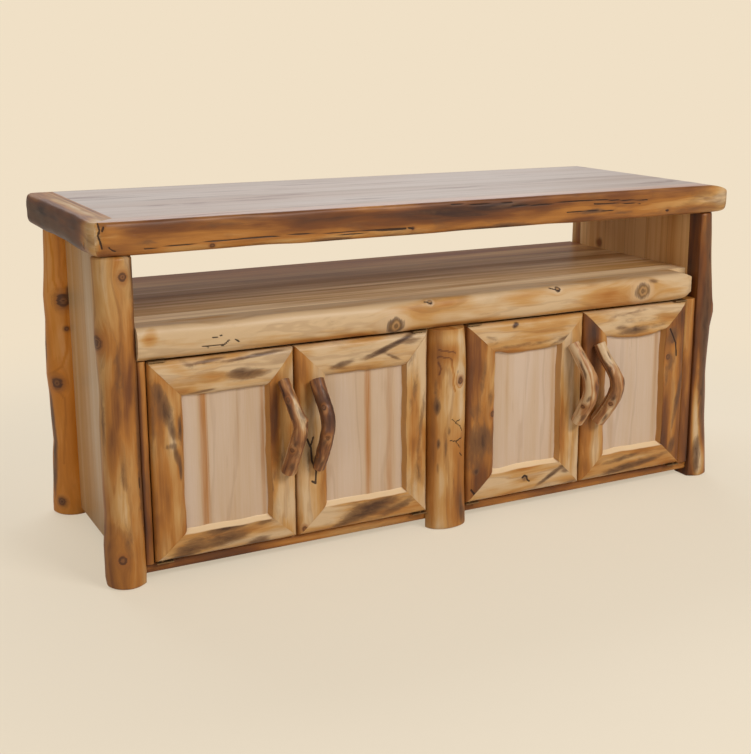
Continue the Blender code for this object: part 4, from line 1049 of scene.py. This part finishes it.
def frame_member(name, outer_line, inner_line, face_y, back_y, seed, bevel, paleness_with_painted_light, gold):
    """One mitred member between two edge lines, each from its first mitre to its second, as (x, z)."""
    spec = MEMBERS[name]
    (ax, az), (bx, bz) = outer_line
    (cx, cz), (dx, dz) = inner_line
    length = math.hypot(bx - ax, bz - az)
    width = math.hypot(cx - ax, cz - az) * 0.71
    thickness = back_y - face_y
    section = member_section(width, thickness, bevel)
    rows = round(length / MEMBER_STEP)
    s, column = np.meshgrid(np.linspace(0, 1, rows), np.arange(len(section)), indexing="ij")
    w, out = section[column, 0], section[column, 1]
    first_x, first_z = ax + (cx - ax) * w, az + (cz - az) * w
    last_x, last_z = bx + (dx - bx) * w, bz + (dz - bz) * w
    x, z = first_x + (last_x - first_x) * s, first_z + (last_z - first_z) * s
    inward = np.array([cx + dx - ax - bx, cz + dz - az - bz])
    run = np.array([bx - ax, bz - az]) / length
    inward = inward - run * (inward @ run)
    inward = inward / np.linalg.norm(inward)
    place = np.stack([x, z, np.full_like(x, seed)], axis=-1) * (1, 1, 0)
    # The waney inner edge wanders in and out, and the round of the face comes and goes with it.
    ends = np.clip(np.minimum(s, 1 - s) * length / 0.05, 0, 1)
    edge = spec["bow"] * (1 - (2 * s - 1) ** 2) + 0.0022 * wander(place, 0.05, seed)
    edge = edge + 0.0008 * wander(place, 0.018, seed + 3) - 0.0012
    shift = edge * np.clip((w - 0.25) / 0.75, 0, 1) * ends
    x, z = x + inward[0] * shift, z + inward[1] * shift
    upward = np.clip((w - 0.35) / 0.65, 0, 1) ** 3
    front = (out > 0.45 * thickness)
    waver = 0.0013 * wander(place, 0.045, seed + 6) + 0.0005 * wander(place, 0.014, seed + 9)
    soft = 0.0010 if bevel else 0.0045
    roll = soft * np.clip(wander(place, 0.06, seed + 12) + 0.6, 0, 1) * upward
    crown = 0.0040 * np.clip(1 - w / 0.38, 0, 1) ** 2
    # A rail's grain runs along X and a stile's runs up.
    along_x = abs(run[0]) > 0.5
    along, across = (x, z) if along_x else (z, x)
    knots, cracks, dark, tones = (spec.get(kind, []) for kind in ("knots", "lines", "dark", "tones"))
    if not along_x:
        knots = [(b, a, radius) for a, b, radius in knots]
        cracks = [(size, [point[::-1] for point in points]) for size, points in cracks]
        dark = turned_upright(dark)
        tones = turned_upright(tones)
    cut = scratches(along, across, cracks)
    out = out + front * (waver - 0.0010 - crown - roll + swell(along, across, knots, 0.0014) - 0.0009 * cut)
    y = np.maximum(back_y - out, face_y - 0.0006)
    piece = skin(name + "_wood", np.stack([x, y, z], axis=-1))
    # Where the inner edge was sawn the wood under the skin shows, paler than the face. On the bottom rail's
    # upward slope that pale is partly painted light from above.
    sawn_edge = (w > 1 - bevel / width + 0.0005 / width) * (out > 0.002) * (bevel > 0)
    warm = 0.10 * np.clip((w - 0.72) / 0.28, 0, 1) * wander(place, 0.08, seed + 15)
    nearest, flow = knots_on(along, across, knots)
    grain = np.stack([along + seed * 3.0, flow + np.where(front, 0.0, 0.4), np.full_like(x, seed)], axis=-1)
    mark(piece, grain=grain, knot=nearest, stain=smudges(along, across, dark) * (1 - sawn_edge),
         tone=shades(along, across, tones) * (1 - sawn_edge) + warm, crack=cut * front,
         end=np.zeros_like(x), pale=sawn_edge * paleness_with_painted_light, golden=sawn_edge * gold)
    piece.data.materials.append(log_wood(name + "_lacquer", base=spec["base"], seed=seed * 4.1, ring=0.22,
                                         smoke=0.22, streak=1.15, blotch=1.1))
    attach(piece, name[:6])
    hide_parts(name)


def door_corners(door):
    """The lowest and the highest corner of a door's frame."""
    boxes = [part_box(f"{door}_{part}") for part in ("rail_top", "rail_bottom", "stile_hinge", "stile_pull")]
    return (Vector([min(low[axis] for low, _ in boxes) for axis in range(3)]),
            Vector([max(high[axis] for _, high in boxes) for axis in range(3)]))


for number, (door, hung_at) in enumerate(HUNG_AT.items(), 1):
    low, high = door_corners(door)
    left, right = ("stile_hinge", "stile_pull") if hung_at == "left" else ("stile_pull", "stile_hinge")
    left_in, right_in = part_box(f"{door}_{left}")[1].x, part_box(f"{door}_{right}")[0].x
    bottom_in, top_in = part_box(f"{door}_rail_bottom")[1].z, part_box(f"{door}_rail_top")[0].z
    outer = [(low.x, low.z), (high.x, low.z), (high.x, high.z), (low.x, high.z)]
    inner = [(left_in, bottom_in), (right_in, bottom_in), (right_in, top_in), (left_in, top_in)]
    # The members go round from the bottom left corner. The inner edges of the bottom rail and the right
    # stile are sawn to a slope, pale on the rail and golden on the stile; the rail's upward slope is paler
    # partly by painted light from above.
    slopes = {"rail_bottom": (0.0095, 0.90, 0.0), right: (0.0060, 0.0, 0.80)}
    for first, part in enumerate(("rail_bottom", right, "rail_top", left)):
        last = (first + 1) % 4
        bevel, paleness_with_painted_light, gold = slopes.get(part, (0.0, 0.0, 0.0))
        frame_member(f"{door}_{part}", (outer[first], outer[last]), (inner[first], inner[last]),
                     low.y, high.y, number * 10 + first, bevel, paleness_with_painted_light, gold)
PANELS = {
    # The panel's tone and its marks as (x, z): smudges, then tones.
    "door_1": dict(
        base=0.20, dark=[(-0.575, 0.240, 0.0012, 0.090, 0, 0.45), (-0.475, 0.250, 0.0015, 0.08, 0, 0.12)],
        tones=[(-0.585, 0.250, 0.012, 0.30, 0, 0.34), (-0.618, 0.250, 0.012, 0.30, 0, -0.12),
               (-0.455, 0.250, 0.006, 0.30, 0, 0.30), (-0.510, 0.300, 0.004, 0.12, 0, 0.14)]),
    "door_2": dict(
        base=0.22, tones=[(-0.205, 0.260, 0.008, 0.30, 0, 0.32), (-0.150, 0.260, 0.014, 0.30, 0, 0.25),
                          (-0.270, 0.260, 0.020, 0.20, 0, -0.08)]),
    "door_3": dict(
        base=0.20, tones=[(0.240, 0.250, 0.010, 0.20, 0, 0.14), (0.290, 0.260, 0.008, 0.30, 0, 0.25),
                          (0.160, 0.300, 0.006, 0.15, 0, 0.16)]),
    "door_4": dict(
        base=0.20, tones=[(0.600, 0.250, 0.008, 0.30, 0, 0.30), (0.470, 0.240, 0.006, 0.20, 0, 0.16),
                          (0.530, 0.300, 0.010, 0.12, 0, 0.10)]),
}
PANEL_BOARD_WIDTH = 0.085
PINK_CREAM = (0.614, 0.463, 0.348)
PINK_TAN = (0.556, 0.386, 0.247)
for seed, (door, panel) in enumerate(PANELS.items(), 1):
    name = f"{door}_panel"
    low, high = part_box(name)
    columns = round((high.x - low.x) / 0.004)
    rows = round((high.z - low.z) / 0.006)
    z, share = np.meshgrid(np.linspace(low.z, high.z, rows), np.linspace(0, 1, columns), indexing="ij")
    x = low.x + (high.x - low.x) * share
    front = low.y + 0.00025 + 0.0002 * wander(np.stack([x, z * 0.2, z * 0], axis=-1), 0.03, seed + 50)
    # Each ring goes over the front and comes back over the rear.
    ring_x = np.concatenate([x, x[:, ::-1]], axis=1)
    ring_y = np.concatenate([front, np.full_like(front, high.y)], axis=1)
    ring_z = np.concatenate([z, z], axis=1)
    piece = skin(name + "_boards", np.stack([ring_x, ring_y, ring_z], axis=-1))
    board = np.floor((ring_x - low.x) / PANEL_BOARD_WIDTH + 0.3 * seed)
    mark(piece, grain=np.stack([ring_z * 0.5 + board * 1.7, ring_x * 0.8, board * 2.2 + seed], axis=-1),
         knot=np.full_like(ring_x, 9.0),
         stain=smudges(ring_z, ring_x, turned_upright(panel.get("dark", ()))),
         tone=shades(ring_z, ring_x, turned_upright(panel["tones"])) + 0.07 * np.sin(board * 12.9898 + seed),
         crack=np.zeros_like(ring_x), end=np.zeros_like(ring_x))
    piece.data.materials.append(log_wood(name + "_lacquer", base=panel["base"], streak=0.42, blotch=0.35,
                                         ring=0.12, seed=seed * 9.3, coat=0.3,
                                         stops=(PINK_CREAM, PINK_TAN, HONEY, BROWN)))
    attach(piece, door)
    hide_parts(name)


# ---------------------------------------------------------------------------------------------------
# The handles: peeled crooked branches, sawn off at a slant and screwed on from behind the doors.

BRANCHES = {
    # The tone, and the radius from the top foot to the bottom one. Points on its middle line: in from the
    # door's meeting edge, out from its face and up from its bottom. Knobs: how far along, which way they
    # face, how high and how long. Tones: from the top foot, round it, and as on the logs.
    "door_1": dict(
        tone=0.52, smoke=0.70, radius=(0.0135, 0.0140, 0.0152, 0.0166, 0.0170),
        points=[(.031, .009, .360), (.027, .027, .334), (.020, .045, .301), (.0125, .053, .272),
                (.014, .050, .247), (.020, .034, .206), (.024, .011, .160)],
        knobs=[(0.46, 0.8, 0.0036, 0.028), (0.70, 2.5, 0.0034, 0.022), (0.20, 2.4, 0.0016, 0.03)],
        # The paler streak at its front right near the top is a painted highlight; the browner left side there
        # is partly painted shade.
        tones=[(0.045, 0.042, 0.045, 0.007, 0, 0.60), (0.100, 0.020, 0.022, 0.009, 0, -0.40),
               (0.215, 0.030, 0.025, 0.020, 0, 0.35), (0.150, 0.037, 0.012, 0.008, 0, -0.40),
               (0.060, 0.020, 0.030, 0.006, 0, -0.30)]),
    "door_2": dict(
        tone=1.00, smoke=0.80, radius=(0.0155, 0.0155, 0.0152, 0.0148, 0.0138),
        points=[(.041, .009, .352), (.043, .028, .322), (.046, .048, .292), (.0475, .053, .264),
                (.045, .048, .230), (.043, .030, .192), (.043, .009, .157)],
        knobs=[(0.57, 1.9, 0.0030, 0.024), (0.30, 2.2, 0.0018, 0.020), (0.80, 3.0, 0.0020, 0.03)],
        tones=[(0.125, 0.028, 0.011, 0.009, 0, -0.80), (0.068, 0.032, 0.010, 0.008, 0, -0.75),
               (0.020, 0.030, 0.030, 0.012, 0, -0.40), (0.200, 0.020, 0.030, 0.006, 0, -0.25)]),
    "door_3": dict(
        tone=0.14, smoke=0.10, radius=(0.0148, 0.0160, 0.0180, 0.0178, 0.0162),
        points=[(.038, .009, .358), (.030, .027, .329), (.020, .047, .295), (.0135, .053, .266),
                (.0135, .049, .236), (.016, .031, .200), (.020, .010, .165)],
        knobs=[(0.46, 0.8, 0.0028, 0.026), (0.74, 2.7, 0.0024, 0.026)],
        tones=[(0.030, 0.020, 0.025, 0.020, 0, 0.15), (0.110, 0.022, 0.012, 0.008, 0, 0.30),
               (0.165, 0.036, 0.014, 0.008, 0, 0.30), (0.160, -0.020, 0.050, 0.010, 0, 0.35)]),
    "door_4": dict(
        tone=0.50, smoke=0.50, radius=(0.0148, 0.0152, 0.0168, 0.0180, 0.0182),
        points=[(.035, .009, .349), (.042, .027, .317), (.053, .048, .283), (.059, .053, .256),
                (.056, .048, .228), (.046, .031, .192), (.036, .010, .158)],
        knobs=[(0.46, 0.9, 0.0030, 0.028), (0.30, 2.6, 0.0020, 0.026), (0.70, 2.3, 0.0026, 0.022)],
        tones=[(0.040, 0.022, 0.050, 0.014, 0, -0.40), (0.150, 0.033, 0.014, 0.008, 0, -0.50),
               (0.050, 0.042, 0.060, 0.005, 0, 0.50), (0.170, 0.010, 0.040, 0.020, 0, 0.20),
               (0.200, 0.030, 0.030, 0.010, 0, -0.15)]),
}
BARK_RADIUS = 0.015                                   # turns an angle round a branch into metres of bark
THINNEST, THICKEST = 0.0105, 0.0185
RING_POINTS = 40
END_CUT = 0.0008                                      # how far the eased rims stand back
BRANCH_TONES = (CREAM, (0.45, 0.215, 0.080), (0.27, 0.105, 0.036), (0.120, 0.047, 0.024))
BRANCH_MARKS = [
    # Dark marks on every branch: how far along as a share of it, round it, and as on the logs.
    (0.30, 0.040, 0.030, 0.004, 5, 0.70), (0.70, -0.010, 0.030, 0.005, -5, 0.75),
    (0.55, 0.015, 0.030, 0.004, 0, 0.70), (0.16, 0.022, 0.015, 0.004, 0, 0.60),
    (0.62, 0.034, 0.010, 0.004, 15, 0.75), (0.88, 0.028, 0.015, 0.006, 0, 0.65),
]


def smooth_line(points):
    """A smooth line through the points, by Catmull and Rom's rule."""
    padded = np.vstack([2 * points[0] - points[1], points, 2 * points[-1] - points[-2]])
    parts = []
    for i in range(len(points) - 1):
        p0, p1, p2, p3 = padded[i:i + 4]
        t = np.linspace(0, 1, 15, endpoint=i == len(points) - 2)[:, None]
        parts.append(0.5 * (2 * p1 + (p2 - p0) * t + (2 * p0 - 5 * p1 + 4 * p2 - p3) * t ** 2
                            + (3 * p1 - p0 - 3 * p2 + p3) * t ** 3))
    return np.vstack(parts)


def half_turn(angle):
    """The same angle between -pi and pi."""
    return angle if angle < math.pi else angle - 2 * math.pi


for seed, (door, branch) in enumerate(BRANCHES.items(), 1):
    name = f"{door}_handle"
    low, high = door_corners(door)
    meets, inward = (high.x, -1) if HUNG_AT[door] == "left" else (low.x, 1)
    face_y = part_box(f"{door}_stile_pull")[0].y
    points = [(meets + inward * a, face_y - b, low.z + c) for a, b, c in branch["points"]]
    line = smooth_line(np.array(points))
    tangent = np.gradient(line, axis=0)
    tangent = tangent / np.linalg.norm(tangent, axis=1)[:, None]
    sideways = np.tile([1.0, 0.0, 0.0], (len(line), 1))
    sideways = sideways - tangent * (sideways * tangent).sum(1)[:, None]
    sideways = sideways / np.linalg.norm(sideways, axis=1)[:, None]
    outwards = np.cross(tangent, sideways)
    run = np.concatenate([[0], np.cumsum(np.linalg.norm(np.diff(line, axis=0), axis=1))])
    length = run[-1]
    s, turn = np.meshgrid(np.linspace(0, 1, len(line)), np.linspace(0, 2 * math.pi, RING_POINTS, False),
                          indexing="ij")
    runs = np.repeat(run[:, None], RING_POINTS, axis=1)
    place = np.stack([np.cos(turn) * BARK_RADIUS, np.sin(turn) * BARK_RADIUS, runs], axis=-1)
    radius = np.interp(s, np.linspace(0, 1, 5), branch["radius"])
    radius = radius + 0.0011 * wander(place * (1, 1, 0.5), 0.020, seed + 110)
    radius = radius + 0.0006 * wander(place, 0.008, seed + 120)
    knots = []
    for at, way, height, size in branch["knobs"]:
        turned = (turn - way + math.pi) % (2 * math.pi) - math.pi
        reach = np.hypot((s - at) / (size * 1.5), turned / 0.8)
        radius = radius + height * np.exp(-reach ** 2)
        knots.append((at * length, half_turn(way) * BARK_RADIUS, 0.0045))
    radius = np.clip(radius, THINNEST, THICKEST)
    # Each end is sawn off square, and its rim is just eased.
    radius = np.vstack([radius[:1] * 0.90, radius[:1], radius[1:-1], radius[-1:], radius[-1:] * 0.90])
    line, sideways, outwards, turn, runs = (np.vstack([v[:1], v, v[-1:]])
                                            for v in (line, sideways, outwards, turn, runs))
    line[0] -= tangent[0] * END_CUT
    line[-1] += tangent[-1] * END_CUT
    rings = (line[:, None] + radius[..., None] * (np.cos(turn)[..., None] * sideways[:, None]
                                                  + np.sin(turn)[..., None] * outwards[:, None]))
    # The sawn backs of the feet lie flat on the door's face.
    rings[..., 1] = np.minimum(rings[..., 1], face_y - 0.0006)
    piece = skin(name + "_branch", rings)
    around = np.where(turn < math.pi, turn, turn - 2 * math.pi) * BARK_RADIUS
    sawn = np.zeros_like(runs)
    sawn[0] = sawn[-1] = 1
    wood = log_wood(name + "_lacquer", base=branch["tone"], seed=seed * 6.7 + 1, ring=0.12, streak=1.6,
                    blotch=1.7, smoke=branch["smoke"], stops=BRANCH_TONES)
    finish_log(piece, wood, door, [name], runs, around, knots=knots,
               dark=[(length * share, *more) for share, *more in BRANCH_MARKS], tones=branch["tones"],
               ends=sawn, seed=seed * 3.9, fineness=2.6)


# ---------------------------------------------------------------------------------------------------
# The small fittings: the steel pins and plates that the doors turn on and the catches' strikes, plated
# a dull brass, and the catches themselves, of dark plastic.

def fitting_finish(name, colour, metallic, rough):
    """Finely brushed and a little spotted, in metal or plastic."""
    n = Nodes(name)
    place = n.add("TexCoord").outputs["Object"]
    brushed = n.noise(n.stretch(place, (900.0, 900.0, 90.0)), 3.0, 0.6)
    spots = n.noise(n.stretch(place, (70.0, 70.0, 70.0)), 4.0, 0.6)
    shade = n.sway(spots, 0.5, brushed)
    dull = tuple(c * 0.72 for c in colour)
    n.surface(Base_Color=n.mix(shade, dull, colour), Roughness=n.math("MULTIPLY_ADD", spots, 0.3, rough),
              Normal=n.relief(brushed, 0.12, 0.0003), Metallic=metallic)
    return n.material


brassed = fitting_finish("brassed_steel", (0.33, 0.205, 0.095), 0.9, 0.36)
catch_plastic = fitting_finish("catch_plastic", (0.045, 0.030, 0.022), 0.0, 0.40)
for name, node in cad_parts.items():
    if "_pivot_" in name or name.endswith("_strike"):
        finish_node(name, brassed)
    elif name.startswith("catch_"):
        finish_node(name, catch_plastic)


# ---------------------------------------------------------------------------------------------------
# The room: a pale floor that fades into the backdrop, soft light from high in front, and the camera.

WALL = (0.871, 0.745, 0.565)
FLOOR_SIZE = 14.0

n = Nodes("pale_floor")
place = n.add("TexCoord").outputs["Object"]
distance = n.add("VectorMath", operation="LENGTH", Vector=place).outputs["Value"]
mottle = n.noise(n.stretch(place, (1.5, 1.5, 1.5)), 3.0, 0.5)
n.surface(Base_Color=n.mix(mottle, (0.870, 0.800, 0.680), (0.900, 0.830, 0.710)), Roughness=0.85)
# What the camera sees of it is lightened a little, and far off it is all backdrop. Neither lights the
# stand.
glow = n.add("Emission", Color=(*WALL, 1.0), Strength=1.0)
fade = n.math("MULTIPLY_ADD", n.between(distance, 0.9, 2.3), 0.42, 0.58)
blend = n.add("MixShader")
n.feed(blend.inputs[0], n.math("MULTIPLY", fade, n.add("LightPath").outputs["Is Camera Ray"]))
n.tree.links.new(n.shader.outputs[0], blend.inputs[1])
n.tree.links.new(glow.outputs[0], blend.inputs[2])
n.tree.links.new(blend.outputs[0], n.tree.nodes["Material Output"].inputs["Surface"])

floor_mesh = bpy.data.meshes.new("floor")
shape = bmesh.new()
bmesh.ops.create_grid(shape, x_segments=8, y_segments=8, size=FLOOR_SIZE)
shape.to_mesh(floor_mesh)
shape.free()
floor = bpy.data.objects.new("floor", floor_mesh)
floor.location.z = cad_box[0][2] - 0.0008
floor_mesh.materials.append(n.material)
bpy.context.scene.collection.objects.link(floor)

world = bpy.data.worlds.new("room")
bpy.context.scene.world = world
world.use_nodes = True
tree = world.node_tree
tree.nodes.clear()
paths = tree.nodes.new("ShaderNodeLightPath")
seen = tree.nodes.new("ShaderNodeBackground")
seen.inputs["Color"].default_value = (*WALL, 1.0)
seen.inputs["Strength"].default_value = 1.0
fill = tree.nodes.new("ShaderNodeBackground")
fill.inputs["Color"].default_value = (0.93, 0.92, 0.90, 1.0)
fill.inputs["Strength"].default_value = 0.30
choose = tree.nodes.new("ShaderNodeMixShader")
ending = tree.nodes.new("ShaderNodeOutputWorld")
tree.links.new(paths.outputs["Is Camera Ray"], choose.inputs[0])
tree.links.new(fill.outputs[0], choose.inputs[1])
tree.links.new(seen.outputs[0], choose.inputs[2])
tree.links.new(choose.outputs[0], ending.inputs["Surface"])


def soft_light(name, at, toward, size, power, colour=(1.0, 0.97, 0.92)):
    """A wide lamp that faces a point."""
    lamp = bpy.data.lights.new(name, "AREA")
    lamp.shape = "RECTANGLE"
    lamp.size, lamp.size_y = size
    lamp.energy = power
    lamp.color = colour
    holder = bpy.data.objects.new(name, lamp)
    holder.location = at
    holder.rotation_euler = (Vector(toward) - Vector(at)).to_track_quat("-Z", "Y").to_euler()
    bpy.context.scene.collection.objects.link(holder)


soft_light("key", (1.3, -3.9, 3.1), (0.0, 0.0, 0.35), (2.0, 1.5), 128.0)
soft_light("front_fill", (-3.2, -2.6, 1.5), (0.0, 0.0, 0.4), (2.2, 1.6), 20.0)
soft_light("top_glow", (0.2, 1.9, 2.5), (0.0, 0.0, 0.7), (3.6, 1.4), 53.0, (0.93, 0.97, 1.0))

CAMERA_AT = (-1.37779, -2.62792, 1.08469)
YAW, PITCH, ROLL = 0.498933, 0.229227, 0.0038207      # radians
forward = Vector((math.sin(YAW) * math.cos(PITCH), math.cos(YAW) * math.cos(PITCH), -math.sin(PITCH)))
level = Vector((math.cos(YAW), -math.sin(YAW), 0.0))
upright = level.cross(forward)
right = math.cos(ROLL) * level + math.sin(ROLL) * upright
above = math.cos(ROLL) * upright - math.sin(ROLL) * level
lens = bpy.data.cameras.new("camera")
lens.lens = 59.52
lens.sensor_width = 36.0
lens.shift_x = -0.0584
lens.shift_y = -0.0486
lens.clip_end = 60.0
camera = bpy.data.objects.new("camera", lens)
turned = Matrix((right, above, -forward)).transposed().to_4x4()
camera.matrix_world = Matrix.Translation(CAMERA_AT) @ turned
bpy.context.scene.collection.objects.link(camera)
bpy.context.scene.camera = camera
bpy.context.scene.view_settings.view_transform = "Standard"
